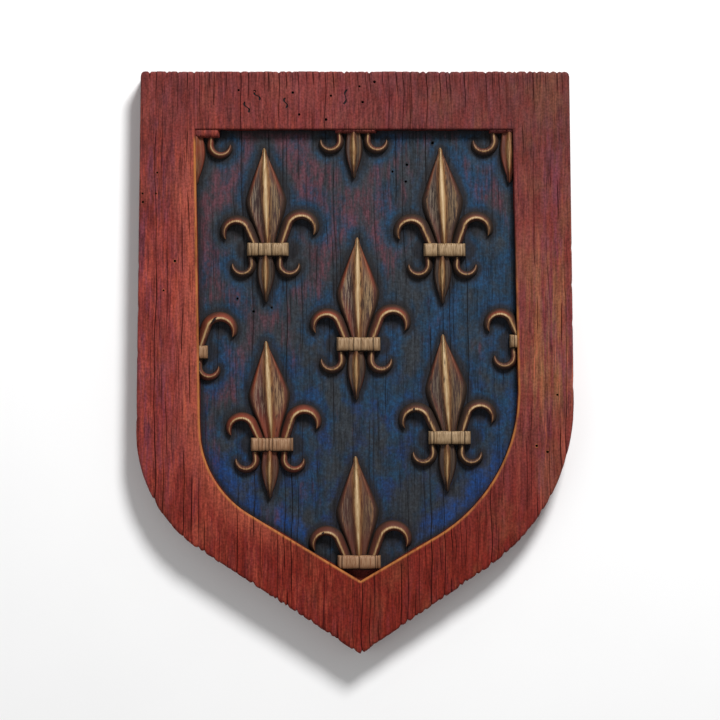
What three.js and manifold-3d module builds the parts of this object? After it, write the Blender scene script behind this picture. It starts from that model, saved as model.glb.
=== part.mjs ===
// A heater shield carved from one wooden board, for display.
// A raised frame runs round a sunk field strewn with fleurs-de-lis in relief, and the frame
// cuts off the flowers at its edge. Millimetres, +Z out of the carved face, +Y towards the
// straight top edge, the origin under the middle of the shield on its flat back.

import * as THREE from 'three';
import { mergeVertices } from 'three/addons/utils/BufferGeometryUtils.js';
import Module from 'manifold-3d';

// The board. The tip hangs a little to the right of the middle, as it was sawn by hand.
const SHIELD = {
  height: 320,
  topWidth: 235,
  fullWidth: 240,
  thickness: 20,
  tipShift: 3,
  cornerRadius: 3,
  edgeChamfer: 1.5,
};

// The sunk field. carvingClearance keeps the highest carving below the face of the frame.
const FIELD = {
  depth: 7.5,
  topRail: 32,
  tipRail: 40.5,
  lipChamfer: 0.9,
  carvingClearance: 0.7,
};

// Each side runs straight down from the top, turns round the shoulder and goes straight to
// the tip. The field's own side does the same, a rail's width inside. straight is a share of
// the height, of the board or of the field, and turn is a shoulder's radius as a share of the
// drop from the shoulder to the tip, which the radius has to stay below.
const LEFT_SIDE = {
  railAtTop: 30,
  railAtShoulder: 35,
  straight: 0.619,
  turn: 0.63189,
  fieldStraight: 0.6586,
  fieldTurn: 0.66265,
};
const RIGHT_SIDE = {
  railAtTop: 31,
  railAtShoulder: 30.5,
  straight: 0.569,
  turn: 0.79751,
  fieldStraight: 0.5818,
  fieldTurn: 0.88878,
};

// The fleur-de-lis. Its forms are shares of its own height and of its relief.
const FLEUR = {
  height: 86.5,
  root: 1,
  hiddenBite: 1.5,
};
const CREST = FIELD.depth - FIELD.carvingClearance;

// Spear-shaped leaves: the length, the half-widths at the band and at the widest place, how
// far along that place is, and how full the taper to the point is.
const PETAL = { length: 0.659, base: 0.049, widest: 0.139, widestAt: 0.491, fullness: 1.15 };
const TAIL = { length: 0.341, base: 0.049, widest: 0.0625, widestAt: 0.437, fullness: 1.6 };

// Hooked leaves: a straight stem that runs on into a circular hook, with a crest along it.
// outer and inner are the widths of the slopes on the hook's outside and inside.
const ARM = {
  stemX: 0.09,
  stemY: 0.03,
  centreX: 0.213,
  centreY: 0.119,
  radius: 0.082,
  startDeg: 150,
  endDeg: -26,
  outer: 0.056,
  inner: 0.021,
  outerAtRoot: 0.8,
  crestShare: 0.9,
};
const CURL = {
  stemX: 0.097,
  stemY: -0.028,
  centreX: 0.154,
  centreY: -0.092,
  radius: 0.061,
  startDeg: 180,
  endDeg: 365,
  outer: 0.031,
  inner: 0.015,
  outerAtRoot: 0.5,
  crestShare: 0.62,
};
const BAND = { width: 0.27, height: 0.094, round: 0.016, crestShare: 0.98 };
const FOOT_SHIFT = -0.013;

// Where each flower's band lies in the field: u from its left edge to its right, v from its
// top to its tip. lean turns the leaves above the band, in degrees, scale is the size, and
// left and right are the sizes of the two arms against the rest. hides names the leaves that
// the frame's side covers altogether.
const FLOWERS = [
  { u: 0.0086, v: 0.0012, lean: 2.5, scale: 1 },
  { u: 0.5052, v: -0.0085, lean: 2.5, scale: 0.97 },
  { u: 0.997, v: -0.0097, lean: 2.5, scale: 1.06 },
  { u: 0.2276, v: 0.2659, lean: 2.1, scale: 0.98, left: 0.94, right: 1.04 },
  { u: 0.7856, v: 0.2671, lean: 2.5, scale: 0.99, left: 0.99, right: 0.98 },
  { u: -0.0282, v: 0.4937, lean: 2.5, scale: 1, left: 1, right: 1.02, hides: 'petal' },
  { u: 0.5138, v: 0.476, lean: 0.7, scale: 1.03, left: 0.92, right: 1 },
  { u: 1.0575, v: 0.4695, lean: 2.5, scale: 1, left: 0.9, right: 1, hides: 'petal' },
  { u: 0.2408, v: 0.6986, lean: 3.4, scale: 1, left: 0.89, right: 1 },
  { u: 0.8011, v: 0.6836, lean: 3.7, scale: 1, left: 0.97, right: 0.95 },
  { u: 0.5161, v: 0.9592, lean: 2, scale: 1.02, left: 0.95, right: 1.03, hides: 'foot' },
];

const ARC_STEPS = 9;
const SPEAR_STEPS = 11;
const HOOK_STEPS = 12;

const wasm = await Module();
wasm.setup();

// Solids from three.js geometry, and back.
function toSolid(geometry) {
  const plain = geometry.index ? geometry.toNonIndexed() : geometry.clone();
  plain.deleteAttribute('normal');
  plain.deleteAttribute('uv');
  const merged = mergeVertices(plain, 1e-4);
  return new wasm.Manifold(
    new wasm.Mesh({
      numProp: 3,
      vertProperties: new Float32Array(merged.attributes.position.array),
      triVerts: new Uint32Array(merged.index.array),
    }),
  );
}

function toGeometry(solid) {
  const mesh = solid.getMesh();
  const geometry = new THREE.BufferGeometry();
  geometry.setAttribute('position', new THREE.BufferAttribute(mesh.vertProperties, 3));
  geometry.setIndex(new THREE.BufferAttribute(mesh.triVerts, 1));
  geometry.computeVertexNormals();
  return geometry;
}

// Adds one side of an outline to a shape, in the order of the path: down the right side to
// the tip, or from the tip up the left side. The slanting line leaves the shoulder's arc at
// the angle where it is tangent to it.
function addSide(shape, sign, halfWidth, shoulderY, radius, tip) {
  const centreX = halfWidth - radius;
  const toTip = new THREE.Vector2(sign * tip.x - centreX, tip.y - shoulderY);
  const tangentAt = toTip.angle() - 2 * Math.PI + Math.acos(radius / toTip.length());
  if (sign > 0) {
    shape.absarc(centreX, shoulderY, radius, 0, tangentAt, true);
    shape.lineTo(tip.x, tip.y);
  } else {
    shape.absarc(-centreX, shoulderY, radius, Math.PI - tangentAt, Math.PI, true);
  }
}

function boardShape() {
  const top = SHIELD.height / 2;
  const corner = SHIELD.cornerRadius;
  const halfTop = SHIELD.topWidth / 2;
  const halfFull = SHIELD.fullWidth / 2;
  const tip = new THREE.Vector2(SHIELD.tipShift, -top);
  const shape = new THREE.Shape();
  shape.absarc(-halfTop + corner, top - corner, corner, Math.PI, Math.PI / 2, true);
  shape.absarc(halfTop - corner, top - corner, corner, Math.PI / 2, 0, true);
  const shoulderY = (side) => top - side.straight * SHIELD.height;
  const radius = (side) => side.turn * (shoulderY(side) - tip.y);
  addSide(shape, 1, halfFull, shoulderY(RIGHT_SIDE), radius(RIGHT_SIDE), tip);
  addSide(shape, -1, halfFull, shoulderY(LEFT_SIDE), radius(LEFT_SIDE), tip);
  return shape;
}

// The field's corners and tip. Its straight top edge is fieldTop, and grow widens it all round.
const fieldTop = SHIELD.height / 2 - FIELD.topRail;
const fieldTip = new THREE.Vector2(SHIELD.tipShift, -SHIELD.height / 2 + FIELD.tipRail);
const fieldLeft = -SHIELD.topWidth / 2 + LEFT_SIDE.railAtTop;
const fieldRight = SHIELD.topWidth / 2 - RIGHT_SIDE.railAtTop;

function fieldShape(grow) {
  const tip = new THREE.Vector2(fieldTip.x, fieldTip.y - grow);
  const halfLeft = SHIELD.fullWidth / 2 - LEFT_SIDE.railAtShoulder + grow;
  const halfRight = SHIELD.fullWidth / 2 - RIGHT_SIDE.railAtShoulder + grow;
  const shape = new THREE.Shape();
  shape.moveTo(fieldLeft - grow, fieldTop + grow);
  shape.lineTo(fieldRight + grow, fieldTop + grow);
  const shoulderY = (side) => fieldTop - side.fieldStraight * (fieldTop - fieldTip.y);
  const radius = (side) => side.fieldTurn * (shoulderY(side) - fieldTip.y) + grow;
  addSide(shape, 1, halfRight, shoulderY(RIGHT_SIDE), radius(RIGHT_SIDE), tip);
  addSide(shape, -1, halfLeft, shoulderY(LEFT_SIDE), radius(LEFT_SIDE), tip);
  return shape;
}

function prism(shape, bottom, top) {
  const options = { depth: top - bottom, bevelEnabled: false, curveSegments: ARC_STEPS };
  return new THREE.ExtrudeGeometry(shape, options).translate(0, 0, bottom);
}

// The board with its chamfered rim, and the field sunk into it with a worn lip.
function board() {
  const chamfer = SHIELD.edgeChamfer;
  const blank = new THREE.ExtrudeGeometry(boardShape(), {
    depth: SHIELD.thickness - 2 * chamfer,
    curveSegments: ARC_STEPS,
    bevelSegments: 1,
    bevelThickness: chamfer,
    bevelSize: chamfer,
    bevelOffset: -chamfer,
  }).translate(0, 0, chamfer);
  const above = SHIELD.thickness + FIELD.depth;
  const sunk = prism(fieldShape(0), SHIELD.thickness - FIELD.depth, above);
  const lip = new THREE.ExtrudeGeometry(fieldShape(0), {
    depth: FIELD.depth,
    curveSegments: ARC_STEPS,
    bevelSegments: 1,
    bevelThickness: FIELD.lipChamfer,
    bevelSize: FIELD.lipChamfer,
  }).translate(0, 0, SHIELD.thickness);
  return toSolid(blank).subtract(toSolid(sunk)).subtract(toSolid(lip));
}

// A strip of carving. Each station has a place on its spine, a unit vector across it and a
// profile of [offset, height] pairs that starts and ends at the root. All profiles of a strip
// have the same number of points, and mirror reflects the strip in the flower's middle line.
function strip(stations, mirror = false) {
  const sign = mirror ? -1 : 1;
  const positions = [];
  const triangles = [];
  const count = stations[0].profile.length;
  for (const { at, across, profile } of stations) {
    for (const [offset, height] of profile) {
      positions.push(sign * (at.x + offset * across.x), at.y + offset * across.y, height);
    }
  }
  for (let s = 0; s + 1 < stations.length; s += 1) {
    for (let k = 0; k < count; k += 1) {
      const here = s * count + k;
      const beside = s * count + ((k + 1) % count);
      triangles.push([here, here + count, beside], [beside, here + count, beside + count]);
    }
  }
  const last = (stations.length - 1) * count;
  for (let k = 1; k + 1 < count; k += 1) {
    triangles.push([0, k, k + 1], [last, last + k + 1, last + k]);
  }
  const index = triangles.flatMap(([a, b, c]) => (mirror ? [a, c, b] : [a, b, c]));
  const geometry = new THREE.BufferGeometry();
  geometry.setAttribute('position', new THREE.Float32BufferAttribute(positions, 3));
  geometry.setIndex(index);
  return geometry;
}

const smooth = (t) => t * t * (3 - 2 * t);

// Half-width of a spear-shaped leaf at the share t of its length: it swells in an S-curve to
// its widest place and tapers from there to the point.
function spearWidth(leaf, t) {
  if (t < leaf.widestAt) {
    return leaf.base + (leaf.widest - leaf.base) * smooth(t / leaf.widestAt);
  }
  const past = (t - leaf.widestAt) / (1 - leaf.widestAt);
  return leaf.widest * (1 - past ** leaf.fullness);
}

// A spear-shaped leaf from the band to its point, upwards or downwards. A narrow spine runs
// along its middle between two hollow facets, and a steep edge drops to the field all round.
function spear(leaf, direction, size) {
  const pointWidth = 0.004;
  const shoulderAt = 0.87;
  const shoulderShare = 0.44;
  const hollowAt = 0.36;
  const hollowShare = 0.62;
  const spineAt = 0.1;
  const stations = [];
  for (let s = 0; s <= SPEAR_STEPS; s += 1) {
    const t = s / SPEAR_STEPS;
    const width = size * Math.max(spearWidth(leaf, t), pointWidth);
    const crest = CREST * (0.76 + 0.2 * Math.sin(Math.PI * t)) * (1 - 0.6 * t ** 6);
    const half = [
      [width, -FLEUR.root],
      [width * shoulderAt, crest * shoulderShare],
      [width * hollowAt, crest * hollowShare],
      [width * spineAt, crest],
    ];
    stations.push({
      at: new THREE.Vector2(0, direction * t * leaf.length * size),
      across: new THREE.Vector2(direction, 0),
      profile: [...half, ...half.map(([offset, height]) => [-offset, height]).reverse()],
    });
  }
  return strip(stations);
}

// A hooked leaf. The hook turns clockwise above the band and counter-clockwise below it, and
// its wide slope is always on the outside of the turn.
function hook(leaf, size, mirror) {
  const start = THREE.MathUtils.degToRad(leaf.startDeg);
  const end = THREE.MathUtils.degToRad(leaf.endDeg);
  const clockwise = end < start;
  const outward = clockwise ? 1 : -1;
  const path = new THREE.Path();
  path.moveTo(leaf.stemX * size, leaf.stemY * size);
  path.lineTo(
    (leaf.centreX + leaf.radius * Math.cos(start)) * size,
    (leaf.centreY + leaf.radius * Math.sin(start)) * size,
  );
  path.absarc(leaf.centreX * size, leaf.centreY * size, leaf.radius * size, start, end, clockwise);
  const stations = [];
  for (let s = 0; s <= HOOK_STEPS; s += 1) {
    const t = s / HOOK_STEPS;
    const along = path.getTangentAt(t);
    const taper = Math.sqrt(Math.max(1 - t ** 3, 0.004));
    const swell = THREE.MathUtils.lerp(leaf.outerAtRoot, 1, Math.sin(Math.PI * t));
    const outer = leaf.outer * size * taper * swell * outward;
    const inner = leaf.inner * size * taper * outward;
    const crest = CREST * leaf.crestShare * (0.72 + 0.28 * Math.sin(Math.PI * t)) * (1 - 0.45 * t ** 4);
    const profile = [
      [outer, -FLEUR.root],
      [outer * 0.62, crest * 0.66],
      [0, crest],
      [-inner, -FLEUR.root],
    ];
    stations.push({
      at: path.getPointAt(t),
      across: new THREE.Vector2(-along.y, along.x),
      profile: clockwise ? profile.reverse() : profile,
    });
  }
  return strip(stations, mirror);
}

// The band that ties the leaves, with rounded ends and edges.
function band(size) {
  const half = (BAND.width / 2) * size;
  const tall = (BAND.height / 2) * size;
  const round = BAND.round * size;
  const crest = CREST * BAND.crestShare;
  const stations = [
    [-half, crest - round],
    [-half + round, crest],
    [half - round, crest],
    [half, crest - round],
  ].map(([x, height]) => ({
    at: new THREE.Vector2(x, 0),
    across: new THREE.Vector2(0, 1),
    profile: [
      [-tall, -FLEUR.root],
      [-tall, height - round],
      [-tall + round, height],
      [tall - round, height],
      [tall, height - round],
      [tall, -FLEUR.root],
    ],
  }));
  return strip(stations);
}

// One flower's solids, placed in the field.
function flower({ u, v, lean, scale, left = 1, right = 1, hides }) {
  const size = FLEUR.height * scale;
  const place = new THREE.Matrix4().makeTranslation(
    THREE.MathUtils.lerp(fieldLeft, fieldRight, u),
    THREE.MathUtils.lerp(fieldTop, fieldTip.y, v),
    SHIELD.thickness - FIELD.depth,
  );
  const leaning = new THREE.Matrix4().makeRotationZ(THREE.MathUtils.degToRad(lean));
  const shifted = new THREE.Matrix4().makeTranslation(FOOT_SHIFT * size, 0, 0);
  const arms = [hook(ARM, size * left, true), hook(ARM, size * right, false)];
  const petal = hides === 'petal' ? [] : [spear(PETAL, 1, size)];
  const curls = [hook(CURL, size, true), hook(CURL, size, false)];
  const foot = hides === 'foot' ? [] : [spear(TAIL, -1, size), ...curls];
  const crown = [...arms, ...petal].map((geometry) => geometry.applyMatrix4(leaning));
  const below = foot.map((geometry) => geometry.applyMatrix4(shifted));
  return [...crown, ...below, band(size)].map((geometry) => toSolid(geometry.applyMatrix4(place)));
}

// All the flowers, cut off just inside the frame.
function carving() {
  const bottom = SHIELD.thickness - FIELD.depth - 2 * FLEUR.root;
  const reach = toSolid(prism(fieldShape(FLEUR.hiddenBite), bottom, SHIELD.thickness));
  return wasm.Manifold.union(FLOWERS.flatMap(flower)).intersect(reach);
}

const paintedWood = new THREE.MeshStandardMaterial({
  name: 'painted_wood',
  color: new THREE.Color(0.36, 0.13, 0.09),
  roughness: 0.6,
  metalness: 0,
});

const shield = new THREE.Mesh(toGeometry(board().add(carving())), paintedWood);
shield.name = 'shield';

const model = new THREE.Group();
model.add(shield);

export default model;
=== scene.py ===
import math

import bmesh
import bpy
import numpy as np
from bpy.props import FloatProperty, FloatVectorProperty, IntProperty, PointerProperty
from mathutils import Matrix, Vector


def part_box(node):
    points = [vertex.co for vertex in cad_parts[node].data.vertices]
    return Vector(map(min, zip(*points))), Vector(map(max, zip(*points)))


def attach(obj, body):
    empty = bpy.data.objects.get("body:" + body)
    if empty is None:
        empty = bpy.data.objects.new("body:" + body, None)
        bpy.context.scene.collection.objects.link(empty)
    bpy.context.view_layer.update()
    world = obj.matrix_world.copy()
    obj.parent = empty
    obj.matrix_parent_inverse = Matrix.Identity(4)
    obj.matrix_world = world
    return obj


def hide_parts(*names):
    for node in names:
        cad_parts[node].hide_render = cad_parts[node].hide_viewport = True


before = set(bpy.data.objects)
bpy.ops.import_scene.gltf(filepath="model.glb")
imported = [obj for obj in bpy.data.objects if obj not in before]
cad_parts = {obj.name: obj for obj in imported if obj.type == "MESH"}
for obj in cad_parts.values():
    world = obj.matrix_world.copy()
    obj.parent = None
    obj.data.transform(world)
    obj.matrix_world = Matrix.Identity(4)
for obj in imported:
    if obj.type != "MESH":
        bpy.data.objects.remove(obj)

bl_info = {
    "name": "Carved heater shield",
    "version": (1, 0, 0),
    "blender": (4, 5, 0),
    "location": "View3D > Sidebar > Shield",
    "description": "A heater shield carved from one board, with painted field and gilt flowers",
    "category": "Add Mesh",
}

CAD_LOW, CAD_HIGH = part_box("shield")
PIECE = "carved_shield"

MILLIMETRES = 1000.0  # in a metre: the marks gap and lip are in millimetres
FAR = 9.0  # the gap or lip of a point that no wash should reach, in millimetres
BUMP_DEPTH = 0.0004  # how deep the shader's fine grain looks
KNOTS = 40  # random knots along each crack
BITES = 26  # bites out of each side of the rim
BATCH = 4000  # points whose distances are measured at a time
RUBBED_AT = 0.106  # the x of the ochre patch on the right rail
FLOOR_REACH = 3.0  # how far the floor runs from the middle

# The materials' numbers on the piece, in the order in which they are made.
FRAME, FIELD, WALL, LEAVES, BANDS, RIM, BACK, HOLES = range(8)


# Sizes and colours.


def length(name, description, default):
    """A length, never below nothing."""
    return FloatProperty(name=name, description=description, default=default, unit="LENGTH", min=0.0)


def shift(name, description, default):
    """A length to the right or upwards, negative the other way."""
    return FloatProperty(name=name, description=description, default=default, unit="LENGTH")


def share(name, description, default):
    """A share from 0 to 1."""
    return FloatProperty(
        name=name, description=description, default=default, subtype="FACTOR", min=0.0, max=1.0
    )


def power(name, description, default):
    """A light's power in watts."""
    return FloatProperty(name=name, description=description, default=default, unit="POWER", min=0.0)


def colour(name, description, default):
    """A colour, its three parts in linear light."""
    return FloatVectorProperty(
        name=name, description=description, default=default, subtype="COLOR", size=3, min=0.0, max=1.0
    )


class BoardSizes(bpy.types.PropertyGroup):
    """The board: its outline, the frame round it and the field sunk into it."""

    height: length("Height", "Top edge to tip", CAD_HIGH[1] - CAD_LOW[1])
    full_width: length("Full width", "Across the shoulders", CAD_HIGH[0] - CAD_LOW[0])
    top_width: length("Top width", "Across the top edge", 0.235)
    thickness: length("Thickness", "Back to the face of the frame", CAD_HIGH[2] - CAD_LOW[2])
    tip_shift: length("Tip shift", "How far right of the middle the tip lies", 0.003)
    corner_radius: length("Corner radius", "Rounding of the top corners", 0.003)
    edge_round: length("Edge rounding", "Rounding of the rim, front and back", 0.0015)
    field_depth: length("Field depth", "How far the field is sunk", 0.0075)
    lip_round: length("Lip rounding", "Wear on the frame's inner edge", 0.0010)
    top_rail: length("Top rail", "Height of the frame at the top", 0.032)
    tip_rail: length("Tip rail", "Height of the frame at the tip", 0.0405)
    left_rail_top: length("Left rail at the top", "Width of the left rail at its top", 0.030)
    left_rail: length("Left rail", "Width of the left rail at the shoulder", 0.035)
    right_rail_top: length("Right rail at the top", "Width of the right rail at its top", 0.031)
    right_rail: length("Right rail", "Width of the right rail at the shoulder", 0.0305)
    left_straight: share("Left side", "Straight part of the left side, of the height", 0.619)
    right_straight: share("Right side", "Straight part of the right side, of the height", 0.569)
    left_turn: share("Left turn", "Left shoulder's radius, of its drop to the tip", 0.63189)
    right_turn: share("Right turn", "Right shoulder's radius, of its drop to the tip", 0.79751)
    field_left_straight: share("Field's left side", "Its straight part, of the field's height", 0.6586)
    field_right_straight: share("Field's right side", "Its straight part, of the field's height", 0.5818)
    field_left_turn: share("Field's left turn", "Its radius, of its drop to the tip", 0.66265)
    field_right_turn: share("Field's right turn", "Its radius, of its drop to the tip", 0.88878)


class GrainSizes(bpy.types.PropertyGroup):
    """The wood: cracks along the grain, and beetle holes."""

    pitch_low: length("Closest cracks", "Least distance between two cracks", 0.0018)
    pitch_high: length("Widest cracks", "Greatest distance between two cracks", 0.0048)
    crack_depth: length("Crack depth", "Deepest crack in the frame", 0.00075)
    field_crack: share("Field cracks", "Depth of the field's cracks against the frame's", 0.55)
    notch: length("Rim notches", "How far a crack bites into the rim", 0.0010)
    drift: length("Drift", "How far the grain wanders sideways", 0.0006)
    hole_width: length("Beetle holes", "Width of a beetle's exit hole", 0.0015)
    hole_depth: length("Hole depth", "Depth of a beetle's exit hole", 0.0028)
    seed: IntProperty(name="Seed", description="Picks the run of the grain", default=7)


class FlowerSizes(bpy.types.PropertyGroup):
    """The fleur-de-lis: its height, and how high it stands off the field."""

    height: length("Height", "Tail to point", 0.0865)
    relief: length("Relief", "Height of the highest crest over the field", 0.0068)
    root: length("Root", "How deep the carving is rooted below the field", 0.0012)


class PaintColours(bpy.types.PropertyGroup):
    """Paints, washes and gilding."""

    red: colour("Red", "The frame's brick red", (0.215, 0.041, 0.036))
    mulberry: colour("Mulberry", "Purple-red streaks of the frame", (0.132, 0.036, 0.060))
    flame: colour("Flame", "Orange-red streaks of the frame", (0.35, 0.062, 0.034))
    deep_red: colour("Deep red", "The frame's dark red wash", (0.140, 0.011, 0.005))
    plum: colour("Plum", "The browner red of the frame's top and right", (0.107, 0.030, 0.028))
    orange: colour("Orange", "Worn streaks of the frame", (0.42, 0.105, 0.055))
    amber: colour("Amber", "The frame's rubbed inner edge and the gilding's thin edges", (0.40, 0.148, 0.040))
    ochre: colour("Ochre", "Tawny rubbed patches, most on the right rail", (0.20, 0.092, 0.040))
    blue: colour("Blue", "The field's brighter blue", (0.010, 0.036, 0.070))
    azure: colour("Azure", "The brightest patches of the field", (0.010, 0.050, 0.125))
    shore: colour("Shore", "Clear blue along the field's slanting edges", (0.006, 0.040, 0.165))
    ultramarine: colour("Ultramarine", "Purer blue in the lower half", (0.009, 0.030, 0.098))
    slate: colour("Slate", "The field's greyed blue", (0.027, 0.033, 0.040))
    wine: colour("Wine", "Red streaks that show through the field", (0.105, 0.031, 0.042))
    # Soot also stands for painted shade round the carving and at the field's wall, and for painted shadow
    # under the arms.
    soot_and_shade: colour("Soot", "The dark wash in cracks and round the carving", (0.012, 0.010, 0.011))
    # Umber also stands for painted shade on the carving's steep edges and low slopes.
    umber_and_shade: colour("Umber", "The dark ground under the gilding", (0.022, 0.013, 0.009))
    # On the arms the ember glaze is also painted light, strongest where the arc faces up.
    ember: colour("Ember", "The red-orange glaze on the outer slopes", (0.21, 0.034, 0.012))
    gold: colour("Gold", "The gilding's warm gold", (0.32, 0.20, 0.090))
    pale_gold: colour("Pale gold", "Dry-brushed crests and bands", (0.53, 0.382, 0.222))
    ash: colour("Ash", "The greyed facets of the leaves", (0.118, 0.094, 0.082))
    bare_wood: colour("Bare wood", "The back", (0.205, 0.115, 0.058))


class StageSettings(bpy.types.PropertyGroup):
    """Floor, lights and camera."""

    floor: colour("Floor", "The plain pale floor", (0.90, 0.90, 0.90))
    key_power: power("Key light", "Power of the key light", 27.0)
    fill_power: power("Fill light", "Power of the fill light", 3.0)
    sky: FloatProperty(name="Sky", description="Strength of the even light", default=0.32, min=0.0)
    distance: length("Camera distance", "From the face of the shield", 2.0)
    seen_width: length("Seen width", "Width of the picture at the shield", 0.39452)
    aim_x: shift("Aim right", "How far right of the origin the picture's middle lies", 0.00274)
    aim_y: shift("Aim up", "How far above the origin the picture's middle lies", 0.00164)


# The outline.


def smoothstep(t):
    """A soft step: 3 t squared less 2 t cubed, with t held between 0 and 1."""
    t = np.clip(t, 0.0, 1.0)
    return t * t * (3.0 - 2.0 * t)


def shoulder(half, y, radius, tip, sign):
    """A shoulder's arc, and the point where the line to the tip leaves it.

    The line touches the arc, so its angle seen from the arc's centre is the angle to the tip,
    turned back by the arc cosine of radius over distance.
    """
    centre_x = sign * (half - radius)
    far = math.hypot(tip[0] - centre_x, tip[1] - y)
    angle = math.atan2(tip[1] - y, tip[0] - centre_x) + sign * math.acos(radius / far)
    return centre_x, y, radius, centre_x + radius * math.cos(angle), y + radius * math.sin(angle)


def lower_edge(x, left, right, tip):
    """Height of an outline's lower edge over x: each shoulder's arc, then the line to the tip."""
    y = np.full_like(x, tip[1])
    for (cx, cy, radius, touch_x, touch_y), sign in ((left, -1), (right, 1)):
        arc = cy - np.sqrt(np.clip(radius**2 - (x - cx) ** 2, 0.0, None))
        line = touch_y + (tip[1] - touch_y) * (x - touch_x) / (tip[0] - touch_x)
        here = (x - tip[0]) * sign >= 0
        y = np.where(here, np.where((x - touch_x) * sign >= 0, arc, line), y)
    return y


class Outline:
    """The board's and the field's outlines, worked out from the sizes."""

    def __init__(self, b):
        """Heights are measured from the middle of the board, widths from its upright middle line."""
        self.b = b
        self.top = b.height / 2
        self.half = b.full_width / 2
        self.half_top = b.top_width / 2
        self.tip = (b.tip_shift, -self.top)
        self.field_top = self.top - b.top_rail
        self.field_tip = (b.tip_shift, -self.top + b.tip_rail)
        self.field_height = self.field_top - self.field_tip[1]
        self.edges = (-self.half, -self.half + b.left_rail, self.half - b.right_rail, self.half)
        self.left = self.side(b.left_straight, b.left_turn, -1)
        self.right = self.side(b.right_straight, b.right_turn, 1)

    def side(self, straight, turn, sign):
        """The board's shoulder: it starts where the side's straight part ends.

        Its radius is the share turn of the drop from there to the tip.
        """
        y = self.top - straight * self.b.height
        return shoulder(self.half, y, turn * (y - self.tip[1]), self.tip, sign)

    def board_bottom(self, x):
        """Height of the board's lower edge over x."""
        return lower_edge(x, self.left, self.right, self.tip)

    def field_sides(self, grow):
        """The field's two shoulders and its tip, each moved outwards by grow."""
        b = self.b
        tip = (self.field_tip[0], self.field_tip[1] - grow)
        left_y = self.field_top - b.field_left_straight * self.field_height
        right_y = self.field_top - b.field_right_straight * self.field_height
        left_radius = b.field_left_turn * (left_y - self.field_tip[1]) + grow
        right_radius = b.field_right_turn * (right_y - self.field_tip[1]) + grow
        left = shoulder(-self.edges[1] + grow, left_y, left_radius, tip, -1)
        right = shoulder(self.edges[2] + grow, right_y, right_radius, tip, 1)
        return left, right, tip

    def field_bottom(self, x, grow):
        """Height of the field's lower edge over x."""
        return lower_edge(x, *self.field_sides(grow))

    def verticals(self, y, grow):
        """The four upright lines at height y: board left, field left, field right, board right.

        Each goes straight from its place at the top to its place at the shoulder.
        """
        b = self.b
        between = lambda a, c, t: a + (c - a) * t
        board = lambda s: np.clip((self.top - y) / (s * b.height), 0.0, 1.0)
        field = lambda s: np.clip((self.field_top - y) / (s * self.field_height), 0.0, 1.0)
        left_top, left = self.half_top - b.left_rail_top, self.half - b.left_rail
        right_top, right = self.half_top - b.right_rail_top, self.half - b.right_rail
        return (
            -between(self.half_top, self.half, board(b.left_straight)),
            -between(left_top, left, field(b.field_left_straight)) - grow,
            between(right_top, right, field(b.field_right_straight)) + grow,
            between(self.half_top, self.half, board(b.right_straight)),
        )

    def spread(self, u, y, grow):
        """The x of the grain line u at height y: lines fan out between the upright lines."""
        e, v = self.edges, self.verticals(y, grow)
        x = v[0] + (v[1] - v[0]) * (u - e[0]) / (e[1] - e[0])
        x = np.where(u > e[1], v[1] + (v[2] - v[1]) * (u - e[1]) / (e[2] - e[1]), x)
        return np.where(u > e[2], v[2] + (v[3] - v[2]) * (u - e[2]) / (e[3] - e[2]), x)

    def gather(self, x, y, grow):
        """The grain line through (x, y), the inverse of spread."""
        e, v = self.edges, self.verticals(y, grow)
        u = e[0] + (e[1] - e[0]) * (x - v[0]) / (v[1] - v[0])
        u = np.where(x > v[1], e[1] + (e[2] - e[1]) * (x - v[1]) / (v[2] - v[1]), u)
        return np.where(x > v[2], e[2] + (e[3] - e[2]) * (x - v[2]) / (v[3] - v[2]), u)

    def field_ring(self):
        """The field's outline as a closed run of points."""
        x = np.linspace(self.edges[1], self.edges[2], 260)
        bottom = np.column_stack((x, self.field_bottom(x, 0.0)))
        y = np.linspace(bottom[-1, 1], self.field_top, 40)[1:]
        right = np.column_stack((self.verticals(y, 0.0)[2], y))
        y = np.linspace(self.field_top, bottom[0, 1], 40)
        left = np.column_stack((self.verticals(y, 0.0)[1], y))
        return np.vstack((bottom, right, left))

    def board_ring(self):
        """The board's outline as a closed run of points."""
        x = np.linspace(self.edges[0], self.edges[3], 320)
        bottom = np.column_stack((x, self.board_bottom(x)))
        y = np.linspace(bottom[-1, 1], self.top, 40)[1:]
        right = np.column_stack((self.verticals(y, 0.0)[3], y))
        y = np.linspace(self.top, bottom[0, 1], 40)
        left = np.column_stack((self.verticals(y, 0.0)[0], y))
        return np.vstack((bottom, right, left))


def distance_to_run(points, run):
    """Shortest distance from each point to a run of straight pieces.

    The nearest place on a piece is the share t of the way along it: the point's offset from its
    start times the piece, over the piece's length squared, held between 0 and 1.
    """
    start, step = run[:-1], np.diff(run, axis=0)
    size = np.maximum((step**2).sum(1), 1e-18)
    out = np.empty(len(points))
    for first in range(0, len(points), BATCH):
        p = points[first : first + BATCH, None, :] - start[None]
        t = np.clip((p * step).sum(2) / size, 0.0, 1.0)
        out[first : first + BATCH] = np.sqrt(((p - t[..., None] * step) ** 2).sum(2).min(1))
    return out


def distance_to_discs(points, discs):
    """Distance from each point to the nearest of many discs (x, y, radius), zero inside one."""
    out = np.empty(len(points))
    for first in range(0, len(points), BATCH):
        p = points[first : first + BATCH, None, :] - discs[None, :, :2]
        out[first : first + BATCH] = (np.sqrt((p**2).sum(2)) - discs[None, :, 2]).min(1)
    return np.maximum(out, 0.0)


# The grain.


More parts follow.
